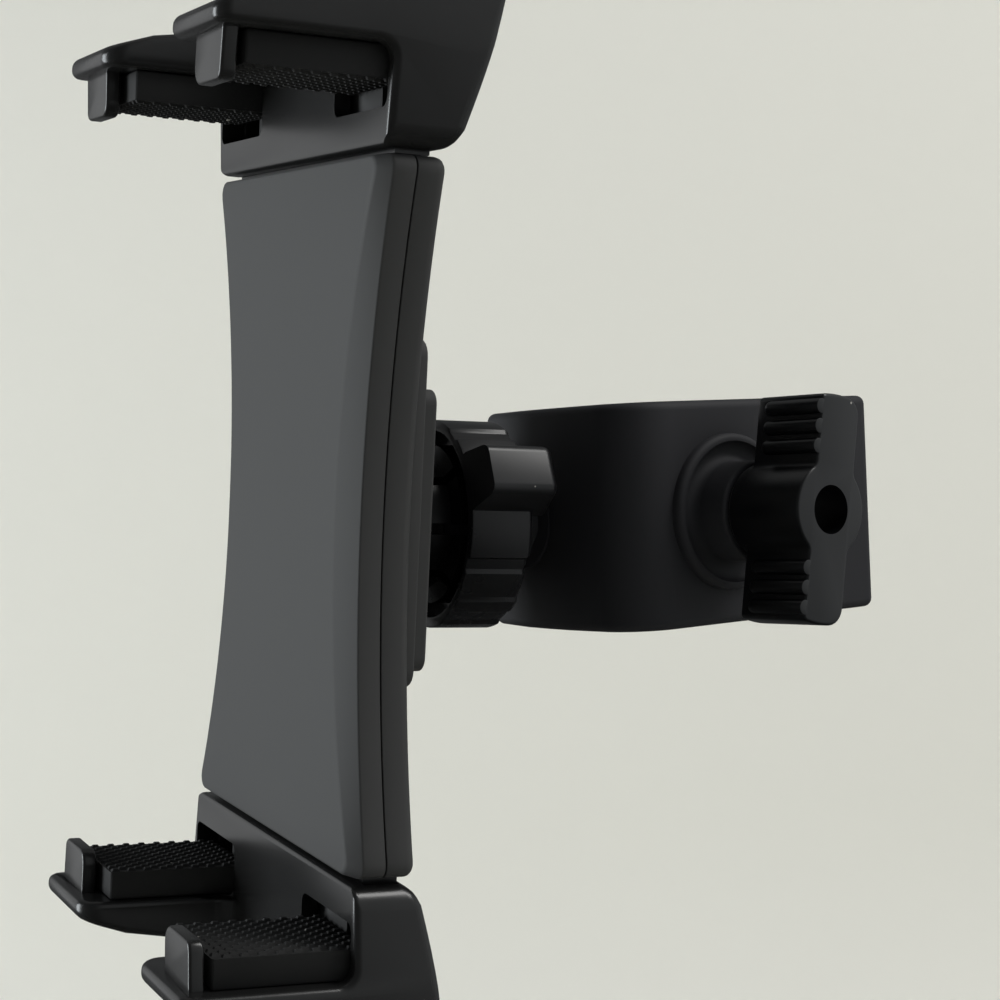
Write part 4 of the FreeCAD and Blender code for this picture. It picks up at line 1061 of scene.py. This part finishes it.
def share_rounding(arm):
    """Gives each sharp edge of the arm being edited its share of the rounding."""
    def is_lip(middle):
        return middle.z < arm.ledge - EDGE_REACH and middle.y < arm.lip_back + EDGE_REACH

    def is_start(middle):
        return middle.z < arm.start + arm.start_slant + EDGE_REACH

    def is_front(middle):
        return middle.y < arm.front + EDGE_REACH

    def is_block(middle):
        return not is_start(middle) and middle.y > arm.front + BLOCK_REACH

    def is_finger(middle):
        return not (is_lip(middle) or is_start(middle) or is_block(middle))

    shares = ((is_lip, arm.lip_round), (is_block, arm.block_round), (is_finger, arm.finger_round),
              (lambda middle: is_start(middle) and is_front(middle), arm.front_round),
              (lambda middle: is_start(middle) and not is_front(middle), 1.0))
    for test, weight in shares:
        select_sharp(test)
        bpy.ops.transform.edge_bevelweight(value=weight)


def narrow_start(arm):
    """Draws in the sides of the arm being edited, level by level, so that it is narrower at its start."""
    full = arm.ledge + MM
    narrow = arm.start_half / arm.half
    bpy.ops.mesh.select_all(action="SELECT")
    bpy.ops.mesh.bisect(plane_co=(0, 0, full), plane_no=(0, 0, 1))
    mesh = bmesh.from_edit_mesh(bpy.context.edit_object.data)
    levels = {round(vertex.co.z, LEVEL_DIGITS) for vertex in mesh.verts if vertex.co.z < full - HAIR}
    for height in sorted(levels):
        select_parts("VERT", lambda vertex: round(vertex.co.z, LEVEL_DIGITS) == height)
        rise = max(0, (height - arm.start) / (full - arm.start))
        bpy.ops.transform.resize(value=(narrow + (1 - narrow) * rise, 1, 1), center_override=(0, 0, 0))


def inner_skirt(arm):
    """The skirt that stands out of the arm's start, round the slide."""
    low = arm.start + arm.start_slant - arm.skirt
    return block("skirt", (-arm.skirt_half, arm.front + arm.skirt_front, low),
                 (arm.skirt_half, arm.skirt_back, low + SKIRT_RISE))


def pad_slot(arm, pad, side):
    """Cutter for the slot that a pad's tail goes into."""
    outline = rounded_box(pad.inner - arm.slot_margin, arm.slot_start, pad.outer + SLOT_OUTER_MARGIN,
                          arm.ledge - SLIVER,
                          (arm.slot_corner, arm.slot_corner, SLOT_LEDGE_CORNER, SLOT_LEDGE_CORNER))
    return slab("slot", [(side * x, z) for x, z in outline], "XZ",
                arm.front - arm.gusset - EDGE_REACH, arm.front + arm.wall + OVERSHOOT)


def arm_screw_recess(arm, side):
    """Cutter for the recess of an arm's screw."""
    x = side * arm.screw_across
    return rod("recess", arm.screw_head, (x, arm.screw_depth, arm.end - arm.screw_recess),
               (x, arm.screw_depth, arm.end + OVERSHOOT), 32)


def gripping_arm(arm, pad, back_start, back_end):
    """An arm as the upper one stands, about the cradle's middle."""
    piece = slab("arm", arm_profile(arm, back_start, back_end), "YZ", -arm.half, arm.half)
    for side in (-1, 1):
        add(piece, finger(arm, side))
    tidy_mesh(piece)
    edit(piece)
    bpy.ops.mesh.select_all(action="SELECT")
    bpy.ops.mesh.dissolve_limited(angle_limit=FLAT_ANGLE)
    share_rounding(arm)
    use_modifier(piece, "BEVEL", width=arm.rounding, segments=5, limit_method="WEIGHT",
                 use_clamp_overlap=False)
    edit(piece)
    narrow_start(arm)
    inner_half = arm.start_half - arm.wall
    cut(piece, slab("cavity", arm_profile(arm, back_start, back_end, arm.wall, -CAVITY_OPENING), "YZ",
                    -inner_half, inner_half))
    add(piece, inner_skirt(arm))
    for side in (-1, 1):
        cut(piece, pad_slot(arm, pad, side))
        cut(piece, arm_screw_recess(arm, side))
    tidy_mesh(piece)
    return piece


class HOLDER_OT_arms(bpy.types.Operator):
    """Models the two gripping arms, the lower one turned over and a little shallower"""

    bl_idname = "holder.arms"
    bl_label = "Arms"

    def execute(self, context):
        arm, pad = context.scene.holder_arm, context.scene.holder_pad
        upper = gripping_arm(arm, pad, arm.back_start, arm.back_end)
        upper.name = "upper_gripping_arm"
        lower = gripping_arm(arm, pad, arm.lower_back_start, arm.lower_back_end)
        lower.name = "lower_gripping_arm"
        plastic = arm_plastic()
        settle(upper, ON_CRADLE)
        settle(lower, ON_CRADLE @ UPSIDE_DOWN)
        finish(upper, "upper_arm", plastic, ["upper_arm"], 30)
        finish(lower, "lower_arm", plastic, ["lower_arm"], 30)
        return {"FINISHED"}


# Pads

WEAVE_RIM = 4  # rim round the grid of cells, in margins
DOWNWARD = -0.9  # a face whose normal is lower than this looks down


def woven_pad(arm, pad):
    """A rubber pad as the upper near one lies, with a woven face of raised cells."""
    face = arm.ledge - pad.rise
    top = arm.ledge - pad.seat
    piece = block("pad", (pad.inner, pad.front, face), (pad.outer, pad.back, top))
    edit(piece)
    round_edges(lambda a, b: near(a.x, b.x) and near(a.y, b.y), pad.edge, 3)
    round_edges(both_at(2, top), pad.edge, 2)
    select_faces(lambda middle, normal: normal.z < DOWNWARD)
    bpy.ops.mesh.inset(thickness=pad.margin)
    weave_face(pad, face)
    leave_edit()
    return piece


def weave_face(pad, face):
    """Replaces the selected face by a grid of cells inside its rim, every other one raised."""
    bpy.ops.mesh.delete(type="ONLY_FACE")
    rim = Vector((pad.margin, pad.margin)) * WEAVE_RIM
    low = Vector((pad.inner, pad.front)) + rim
    high = Vector((pad.outer, pad.back)) - rim
    size = high - low
    columns = round(size.x / pad.cell_width)
    rows = round(size.y / pad.cell_length)
    cell = Vector((size.x / columns, size.y / rows))
    middle = (low + high) / 2
    centre = (middle.x, middle.y, face)
    bpy.ops.mesh.select_all(action="DESELECT")
    bpy.ops.mesh.primitive_grid_add(x_subdivisions=columns, y_subdivisions=rows, size=MM, location=centre)
    bpy.ops.transform.resize(value=(size.x / MM, size.y / MM, 1), center_override=centre)
    bpy.ops.mesh.flip_normals()

    def raised(centre, normal):
        if not near(centre.z, face) or normal.z > DOWNWARD:
            return False
        column = math.floor((centre.x - low.x) / cell.x)
        row = math.floor((centre.y - low.y) / cell.y)
        inside = 0 <= column < columns and 0 <= row < rows
        return inside and (column + row) % 2 == 0

    select_parts("EDGE", lambda edge: edge.is_boundary)
    bpy.ops.mesh.bridge_edge_loops()
    select_faces(raised)
    bpy.ops.mesh.inset(thickness=pad.bump_slope, depth=pad.bump, use_individual=True)


class HOLDER_OT_pads(bpy.types.Operator):
    """Models one woven rubber pad and sets a copy on each finger"""

    bl_idname = "holder.pads"
    bl_label = "Pads"

    def execute(self, context):
        near_pad = woven_pad(context.scene.holder_arm, context.scene.holder_pad)
        far_pad = copy_of(near_pad, "far_pad")
        mirror_across(far_pad)
        rubber = pad_rubber()
        places = (("upper", "near", near_pad, ON_CRADLE), ("upper", "far", far_pad, ON_CRADLE),
                  ("lower", "near", far_pad, ON_CRADLE @ UPSIDE_DOWN),
                  ("lower", "far", near_pad, ON_CRADLE @ UPSIDE_DOWN))
        for end, side, model, matrix in places:
            piece = copy_of(model, end + "_" + side + "_woven_pad")
            settle(piece, matrix)
            finish(piece, end + "_arm", rubber, [end + "_" + side + "_pad"], 25)
        bpy.data.objects.remove(near_pad)
        bpy.data.objects.remove(far_pad)
        return {"FINISHED"}


# Lock ring

# Bands round half of the ring: start and end in degrees, then 0 for a land, 1 for a shallow band and
# 2 for a groove
GRIP_BANDS = ((-90, -67, 0), (-67, -52, 1), (-52, -41, 0), (-41, -22.6, 1), (-22.6, -14.4, 2),
              (-14.4, 58.4, 0), (58.4, 68.4, 1), (68.4, 90, 0))
BAND_LEAN = 1.1
BAND_STEP = 3
LOBE_TURN = 75
LOBE_END_ROUND = 1.3 * MM
LOBE_BITE = 2 * MM
SKIRT_TAPER = 0.3 * MM
THREAD_END = 1.0 * MM
THREAD_TAPER = 0.8 * MM
LIP_CHAMFER = 0.1 * MM
RING_FRONT_ROUND = 0.7 * MM
RING_BACK_ROUND = 0.25 * MM


def grip_outline(ring):
    """The ring's outline across its axis: lands, shallow bands and grooves, the same on both halves."""
    drop = (0, ring.shallow, ring.deep)
    points = []
    for half in (0, 180):
        for start, end, depth in GRIP_BANDS:
            steps = max(2, round((end - start) / BAND_STEP))
            points += arc((0, 0), ring.radius - drop[depth], half + start + BAND_LEAN,
                          half + end - BAND_LEAN, steps)
    return points


def lock_lobe(ring):
    """A lobe on the ring's side, narrower at its face, before it is turned to its angle."""
    root = ring.radius - LOBE_BITE
    across, corner = ring.lobe_half - ring.lobe_round, ring.lobe_radius - ring.lobe_round
    outline = [(root, -ring.lobe_root_half), (ring.radius, -ring.lobe_root_half)]
    outline += arc((corner, -across), ring.lobe_round, -LOBE_TURN, 0, 5)
    outline += arc((corner, across), ring.lobe_round, 0, LOBE_TURN, 5)
    outline += [(ring.radius, ring.lobe_root_half), (root, ring.lobe_root_half)]
    piece = slab("lobe", outline, "XZ", ring.lobe_back, ring.lobe_front)
    slant = Vector((ring.lobe_slant, ring.radius - ring.lobe_radius, 0)).normalized()
    bpy.ops.mesh.select_all(action="SELECT")
    bpy.ops.mesh.bisect(plane_co=(ring.radius, ring.lobe_back, 0), plane_no=slant, use_fill=True,
                        clear_outer=True)
    face_out()
    round_edges(lambda a, b: both_at(1, ring.lobe_front)(a, b) and max(a.x, b.x) > ring.radius + MM,
                LOBE_END_ROUND, 5)
    return piece


def ring_bore(ring):
    """What is hollow inside the ring: the skirt's recess, the threaded bore and the mouth."""
    floor = ring.back + ring.skirt_depth
    lip = ring.front - ring.lip
    profile = [(0, ring.back - OVERSHOOT), (ring.skirt, ring.back - OVERSHOOT),
               (ring.skirt - SKIRT_TAPER, floor), (ring.bore, floor), (ring.bore, THREAD_END),
               (ring.bore - THREAD_TAPER, lip - LIP_CHAMFER), (ring.mouth, lip),
               (ring.mouth, ring.front + OVERSHOOT), (0, ring.front + OVERSHOOT)]
    return turned("bore", lay(profile, "XY", 0), (0, 1, 0), 96)


class HOLDER_OT_lock_ring(bpy.types.Operator):
    """Models the ball joint's lock ring with its grip and lobes"""

    bl_idname = "holder.lock_ring"
    bl_label = "Lock ring"

    def execute(self, context):
        ring = context.scene.holder_ring
        piece = slab("grip_ring", grip_outline(ring), "XZ", ring.back, ring.front)
        round_edges(both_at(1, ring.front), RING_FRONT_ROUND, 3)
        round_edges(both_at(1, ring.back), RING_BACK_ROUND, 2)
        for k in range(ring.lobes):
            lobe = lock_lobe(ring)
            settle(lobe, Matrix.Rotation(2 * math.pi * k / ring.lobes - ring.lobe_angle, 4, "Y"))
            add(piece, lobe)
        cut(piece, ring_bore(ring))
        tidy_mesh(piece)
        settle(piece, ON_BALL)
        finish(piece, "ring", glossy_plastic(), ["lock_ring"], 32)
        return {"FINISHED"}


# Clamp

SEAT_LEAD = 0.6 * MM
BOW_RISE = 0.55 * MM
BOW_STEPS = 9
FACET_CORNER = (0.7 * MM, -0.3 * MM)
FACET_DROP = 0.6 * MM
PAD_START, PAD_END = -59, 18
COLLAR_ROUND = 0.6
BOSS_EDGE = 0.5 * MM
BOSS_BITE = 2 * MM
STUD_SCREW_WAY = 4.6 * MM
STUD_BOSS_BITE = 3 * MM
STUD_BOSS_RISE = 0.6 * MM
RIM_START = 0.3 * MM


def housing_outline(clamp):
    """The fixed jaw and housing seen from above."""
    corner_x, corner_y = clamp.outer - clamp.corner, clamp.bow + clamp.corner
    inner_end = math.sqrt(clamp.seat ** 2 - clamp.end ** 2) + SEAT_LEAD
    left_y = -math.sqrt(clamp.inner ** 2 - clamp.left ** 2)
    start = math.degrees(math.atan2(left_y, clamp.left))
    points = [(inner_end, clamp.end)]
    points += arc((clamp.outer - clamp.end_round, clamp.end - clamp.end_round), clamp.end_round, 90, 0, 5)
    points += arc((corner_x, corner_y), clamp.corner, 0, -90, 12)
    for k in range(1, BOW_STEPS):
        t = k / BOW_STEPS
        x = corner_x + (clamp.facet_end - corner_x) * t
        straight = clamp.bow + (clamp.facet_end_depth - clamp.bow) * t
        points.append((x, straight - BOW_RISE * math.sin(math.pi * t)))
    points += [(clamp.facet_end, clamp.facet_end_depth),
               (clamp.left + FACET_CORNER[0], clamp.facet_depth + FACET_CORNER[1]),
               (clamp.left, clamp.facet_depth + FACET_DROP)]
    points += arc((0, 0), clamp.inner, start, 0, 28)
    return points


def pad_seat(clamp):
    """The recess for the jaw's rubber pad."""
    outline = arc((0, 0), clamp.seat, PAD_START, PAD_END, 20) + [(0, 0)]
    return slab("seat", outline, "XY", -clamp.seat_half, clamp.seat_half)


def screw_boss(clamp):
    """The raised collar and the boss round the screw, with a dished hollow between them."""
    side, dish, high = clamp.outer, clamp.dish, clamp.collar_height
    end = side + clamp.boss_length
    turn = COLLAR_ROUND * high
    crest = math.degrees(math.acos((high - dish) / dish))
    profile = [(side - BOSS_BITE, 0), (side - BOSS_BITE, clamp.collar_radius)]
    profile += arc((side + high - turn, clamp.collar_radius - turn), turn, 90, 0, 5)
    profile += arc((side + dish, clamp.boss_radius + dish), dish, crest, 270, 14)
    profile += arc((end - BOSS_EDGE, clamp.boss_radius - BOSS_EDGE), BOSS_EDGE, 90, 0, 4)
    profile += [(end, 0)]
    boss = turned("boss", lay(profile, "XY", 0), (1, 0, 0), 96)
    settle(boss, Matrix.Translation((0, SCREW.y, SCREW.z)))
    return boss


def stud_boss(clamp):
    """The low round boss that the ball's stud stands on."""
    return rod("stud_boss", clamp.stud_boss_radius, (BALL.x, clamp.stud_boss - STUD_BOSS_RISE, 0),
               (BALL.x, clamp.stud_boss + STUD_BOSS_BITE, 0), 64)


class HOLDER_OT_clamp_housing(bpy.types.Operator):
    """Models the clamp's fixed jaw with its housing and boss"""

    bl_idname = "holder.clamp_housing"
    bl_label = "Clamp housing"

    def execute(self, context):
        clamp = context.scene.holder_clamp
        piece = slab("clamp_housing", housing_outline(clamp), "XY", -clamp.half_height, clamp.half_height)
        inner = clamp.inner + RIM_START
        for place in (-clamp.half_height, clamp.half_height):
            round_edges(lambda a, b: both_at(2, place)(a, b) and max(a.xy.length, b.xy.length) > inner,
                        clamp.rim_round, 5)
        add(piece, screw_boss(clamp))
        add(piece, stud_boss(clamp))
        cut(piece, pad_seat(clamp))
        half = clamp.cavity_half
        cut(piece, block("cavity", (clamp.left - OVERSHOOT, clamp.cavity_front, -half),
                         (clamp.cavity_end, clamp.cavity_back, half)))
        cut(piece, rod("way", clamp.hole, (clamp.cavity_end - OVERSHOOT, SCREW.y, 0),
                       (clamp.outer + clamp.boss_length + OVERSHOOT, SCREW.y, 0)))
        cut(piece, rod("way", STUD_SCREW_WAY, (BALL.x, clamp.stud_boss - OVERSHOOT, 0),
                       (BALL.x, clamp.cavity_front + OVERSHOOT, 0)))
        tidy_mesh(piece)
        finish(piece, "clamp", clamp_plastic(), ["clamp_body"], 30)
        return {"FINISHED"}


# Knob

RIB_EDGE = 0.15 * MM
HUB_CLEAR = 0.05 * MM


def knob_outline(knob):
    """The knob along its screw: hub and two wings, plain on one side and narrower under the ribs."""
    plain = wing_quarter(knob, knob.plain_half, knob.plain_corner)
    ribbed = [(-y, z) for y, z in reversed(wing_quarter(knob, knob.ribbed_half, knob.ribbed_corner))]
    upper = plain + ribbed[1:]
    lower = [(y, -z) for y, z in reversed(upper)]
    return upper + lower[1:-1]


def wing_quarter(knob, half, corner):
    """A quarter of the knob's outline, from the hub's side to the tip of a wing of this half width."""
    root = knob.wing_root
    root_z = math.sqrt((knob.hub + root) ** 2 - (half + root) ** 2)
    root_angle = math.degrees(math.atan2(root_z, half + root))
    tip_y = half - corner
    tip_z = math.sqrt((knob.wing_radius - corner) ** 2 - tip_y ** 2)
    tip_angle = math.degrees(math.atan2(tip_z, tip_y))
    quarter = arc((0, 0), knob.hub, 0, root_angle, 10)
    quarter += arc((half + root, root_z), root, root_angle + 180, 180, 5)[1:]
    quarter += arc((tip_y, tip_z), corner, 0, tip_angle, 6)
    quarter += arc((0, 0), knob.wing_radius, tip_angle, 90, 3)[1:]
    return quarter


def grip_rib(knob):
    """A half-round grip rib with a round nose, about its own axis."""
    reach = knob.end - knob.rib_start - SLIVER
    profile = [(reach, 0)]
    profile += arc((reach - RIB_EDGE, knob.rib_radius - RIB_EDGE), RIB_EDGE, 0, 90, 2)
    profile += arc((0, 0), knob.rib_radius, 90, 180, 6)
    return turned("rib", lay(profile, "XY", 0), (1, 0, 0), 20)


class HOLDER_OT_knob(bpy.types.Operator):
    """Models the clamp screw's two-winged knob with its grip ribs"""

    bl_idname = "holder.knob"
    bl_label = "Knob"

    def execute(self, context):
        knob = context.scene.holder_knob
        piece = slab("winged_knob", knob_outline(knob), "YZ", knob.wing_start, knob.end)
        round_edges(both_at(0, knob.end), knob.edge, 3)
        round_edges(both_at(0, knob.wing_start), knob.edge, 3)
        rib = grip_rib(knob)
        leave_edit()
        for end in (-1, 1):
            for k in range(knob.ribs):
                placed_rib = copy_of(rib, "rib_copy")
                z = end * (knob.rib_first + knob.rib_pitch * k)
                settle(placed_rib, Matrix.Translation((knob.rib_start, -knob.rib_out, z)))
                add(piece, placed_rib)
        bpy.data.objects.remove(rib)
        add(piece, rod("hub", knob.hub - HUB_CLEAR, (knob.start, 0, 0), (knob.end - OVERSHOOT, 0, 0), 64))
        cut(piece, rod("hole", knob.hole, (knob.end - knob.hole_depth, 0, 0),
                       (knob.end + OVERSHOOT, 0, 0)))
        tidy_mesh(piece)
        settle(piece, Matrix.Translation((0, SCREW.y, SCREW.z)) @ Matrix.Rotation(knob.turned, 4, "X"))
        finish(piece, "screw", knob_plastic(), ["t_knob"], 32)
        return {"FINISHED"}


# Pieces whose shape the frame gives

class HOLDER_OT_carried_pieces(bpy.types.Operator):
    """Dresses the pieces that keep the frame's own shape"""

    bl_idname = "holder.carried_pieces"
    bl_label = "Carried pieces"

    def execute(self, context):
        steel = plated_steel("plated_steel", tuple(finishes().steel), roughness=0.32)
        dark_steel = plated_steel("black_oxide_steel", (0.08, 0.08, 0.085), roughness=0.42)
        dressed = {
            clamp_plastic(): ["sliding_jaw", "ball_stud"],
            shade_darkened_socket_plastic(): ["socket", "friction_collet"],
            shell_plastic(): ["mount_plate"],
            slide_plastic(): ["upper_slide", "lower_slide"],
            jaw_rubber(): ["near_jaw_pad", "far_jaw_pad", "pressure_pad"],
            steel: ["clamp_screw", "captive_nut", "retaining_clip", "thrust_washer", "upper_springs",
                    "lower_spring", "ball_stud_screw"],
            dark_steel: ["shell_screws", "plate_screws", "upper_arm_screws", "lower_arm_screws"],
        }
        for material, names in dressed.items():
            for name in names:
                node = frame["nodes"][name]
                node.data.materials.clear()
                node.data.materials.append(material)
        return {"FINISHED"}


# Stage

FLOOR_FRONT = -1.6
SENSOR_WIDTH = 36
NEAREST_SEEN = 0.01
SKY_LEFT_SIDE = (-1, -0.15, 0.1)
SKY_RIGHT_SIDE = (0.75, 0.65, 0.2)
SKY_GLOW_START = 0.2
SKY_TINT = (0.96, 0.99, 1.0)
SKY_BELOW = 0.25
AIM = (0, -0.05, 0)


def camera_axes(stage):
    """The camera's right, up and back directions, from its azimuth, elevation and roll."""
    a, e, r = stage.azimuth, stage.elevation, stage.roll
    back = Vector((math.sin(a) * math.cos(e), -math.cos(a) * math.cos(e), math.sin(e)))
    flat = Vector((math.cos(a), math.sin(a), 0))
    up = back.cross(flat)
    right = flat * math.cos(r) + up * math.sin(r)
    return right, back.cross(right), back


def add_camera(stage):
    bpy.ops.object.camera_add()
    camera = bpy.context.active_object
    camera.name = "photo_camera"
    right, up, back = camera_axes(stage)
    matrix = Matrix((right, up, back)).transposed().to_4x4()
    matrix.translation = Vector((stage.camera_across, stage.camera_depth, stage.camera_height))
    camera.matrix_world = matrix
    camera.data.lens = stage.lens
    camera.data.sensor_width = SENSOR_WIDTH
    camera.data.sensor_fit = "HORIZONTAL"
    camera.data.shift_y = stage.shift
    camera.data.clip_start = NEAREST_SEEN
    bpy.context.scene.camera = camera


def add_softbox(name, place, aim, size, power, tint):
    """A rectangular light at a place, turned to what it lights."""
    bpy.ops.object.light_add(type="AREA", location=place)
    lamp = bpy.context.active_object
    lamp.name = name
    lamp.rotation_euler = (Vector(place) - Vector(aim)).to_track_quat("Z", "Y").to_euler()
    lamp.data.shape = "RECTANGLE"
    lamp.data.size, lamp.data.size_y = size
    lamp.data.energy = power
    lamp.data.color = tint


def add_backdrop(stage):
    """A floor that curves up into a wall behind the object."""
    wall_y = stage.wall_distance
    floor = stage.floor_height
    profile = [(FLOOR_FRONT, floor)]
    profile += arc((wall_y - stage.cove, floor + stage.cove), stage.cove, -90, 0, 10)
    profile += [(wall_y, floor + stage.wall_height)]
    piece = new_piece("backdrop")
    draw_line(lay(profile, "YZ", -stage.wall_half))
    bpy.ops.mesh.extrude_region_move(TRANSFORM_OT_translate={"value": (2 * stage.wall_half, 0, 0)})
    bpy.ops.mesh.select_all(action="SELECT")
    bpy.ops.mesh.normals_make_consistent(inside=True)
    settle(piece, Matrix.Rotation(stage.azimuth, 4, "Z"))
    select_only(piece)
    bpy.ops.object.shade_smooth()
    piece.data.materials.append(wall_paint())
    piece.visible_glossy = False


def glow(tree, place, side, strength):
    """Brightness of the surroundings that rises softly towards a side."""
    facing = along(tree, place, Vector(side).normalized())
    return ramp(tree, facing, SKY_GLOW_START, 1.0, 0.0, strength)


def ramp(tree, value, low, high, low_value, high_value):
    """A soft step between two values."""
    node = tree.nodes.new("ShaderNodeMapRange")
    node.interpolation_type = "SMOOTHSTEP"
    tree.links.new(value, node.inputs["Value"])
    limits = {"From Min": low, "From Max": high, "To Min": low_value, "To Max": high_value}
    for name, number in limits.items():
        node.inputs[name].default_value = number
    return node.outputs["Result"]


def light_world(stage):
    """Dim soft surroundings, darker below, which the camera sees as the pale wall."""
    world = bpy.data.worlds.new("surroundings")
    bpy.context.scene.world = world
    world.use_nodes = True
    tree = world.node_tree
    background = tree.nodes["Background"]
    place = tree.nodes.new("ShaderNodeTexCoord").outputs["Generated"]
    left = glow(tree, place, SKY_LEFT_SIDE, stage.sky_left)
    right = glow(tree, place, SKY_RIGHT_SIDE, stage.sky_right)
    sides = math_node(tree, "ADD", left, right)
    total = math_node(tree, "ADD", sides, stage.sky_base)
    split = tree.nodes.new("ShaderNodeSeparateXYZ")
    tree.links.new(place, split.inputs[0])
    below = ramp(tree, split.outputs["Z"], -0.8, 0.1, SKY_BELOW, 1.0)
    brightness = math_node(tree, "MULTIPLY", total, below, clamp=True)
    soft = blend_colour(tree, brightness, (0, 0, 0), SKY_TINT)
    seen = tree.nodes.new("ShaderNodeLightPath").outputs["Is Camera Ray"]
    pale = tuple(0.8 * c for c in finishes().wall)
    tree.links.new(blend_colour(tree, seen, soft, pale), background.inputs["Color"])


class HOLDER_OT_stage(bpy.types.Operator):
    """Sets the camera, the lights, the floor and the backdrop"""

    bl_idname = "holder.stage"
    bl_label = "Stage"

    def execute(self, context):
        stage = context.scene.holder_stage
        leave_edit()
        add_camera(stage)
        add_softbox("ceiling_softbox", place=(-0.25, 0.15, 1.1), aim=(0, 0, 0), size=(1.2, 1.0),
                    power=stage.ceiling_power, tint=(1, 0.99, 0.96))
        add_softbox("left_softbox", place=(-1.15, -0.3, 0.15), aim=AIM, size=(0.5, 0.8),
                    power=stage.left_power, tint=(0.98, 0.99, 1))
        add_softbox("front_softbox", place=(-0.8, -0.85, 0.1), aim=AIM, size=(0.5, 0.8),
                    power=stage.front_power, tint=(0.92, 0.97, 1))
        add_softbox("wall_softbox", place=(0.8, 0.85, 1.3), aim=(0.1, 1.45, 0.15), size=(1.2, 0.6),
                    power=stage.wall_power, tint=(1, 0.99, 0.97))
        light_world(stage)
        add_backdrop(stage)
        context.scene.view_settings.view_transform = "Standard"
        return {"FINISHED"}


class HOLDER_PT_panel(bpy.types.Panel):
    """Lists the holder's steps in the sidebar"""

    bl_label = "Tablet holder"
    bl_idname = "HOLDER_PT_panel"
    bl_space_type = "VIEW_3D"
    bl_region_type = "UI"
    bl_category = "Tablet holder"

    def draw(self, context):
        for operator in OPERATORS:
            self.layout.operator(operator.bl_idname)


SIZE_GROUPS = {
    "holder_cradle": CradleSizes,
    "holder_slides": SlideSizes,
    "holder_arm": ArmSizes,
    "holder_pad": PadSizes,
    "holder_ring": RingSizes,
    "holder_clamp": ClampSizes,
    "holder_knob": KnobSizes,
    "holder_finishes": Finishes,
    "holder_stage": StageSizes,
}
OPERATORS = (HOLDER_OT_shells, HOLDER_OT_arms, HOLDER_OT_pads, HOLDER_OT_lock_ring,
             HOLDER_OT_clamp_housing, HOLDER_OT_knob, HOLDER_OT_carried_pieces, HOLDER_OT_stage)


def register():
    for group in SIZE_GROUPS.values():
        bpy.utils.register_class(group)
    for name, group in SIZE_GROUPS.items():
        setattr(bpy.types.Scene, name, PointerProperty(type=group))
    for operator in OPERATORS:
        bpy.utils.register_class(operator)
    bpy.utils.register_class(HOLDER_PT_panel)


def unregister():
    bpy.utils.unregister_class(HOLDER_PT_panel)
    for operator in reversed(OPERATORS):
        bpy.utils.unregister_class(operator)
    for name, group in SIZE_GROUPS.items():
        delattr(bpy.types.Scene, name)
        bpy.utils.unregister_class(group)


def main():
    """Runs every step in order."""
    register()
    bpy.ops.holder.shells()
    bpy.ops.holder.arms()
    bpy.ops.holder.pads()
    bpy.ops.holder.lock_ring()
    bpy.ops.holder.clamp_housing()
    bpy.ops.holder.knob()
    bpy.ops.holder.carried_pieces()
    bpy.ops.holder.stage()
    leave_edit()


if __name__ == "__main__":
    main()
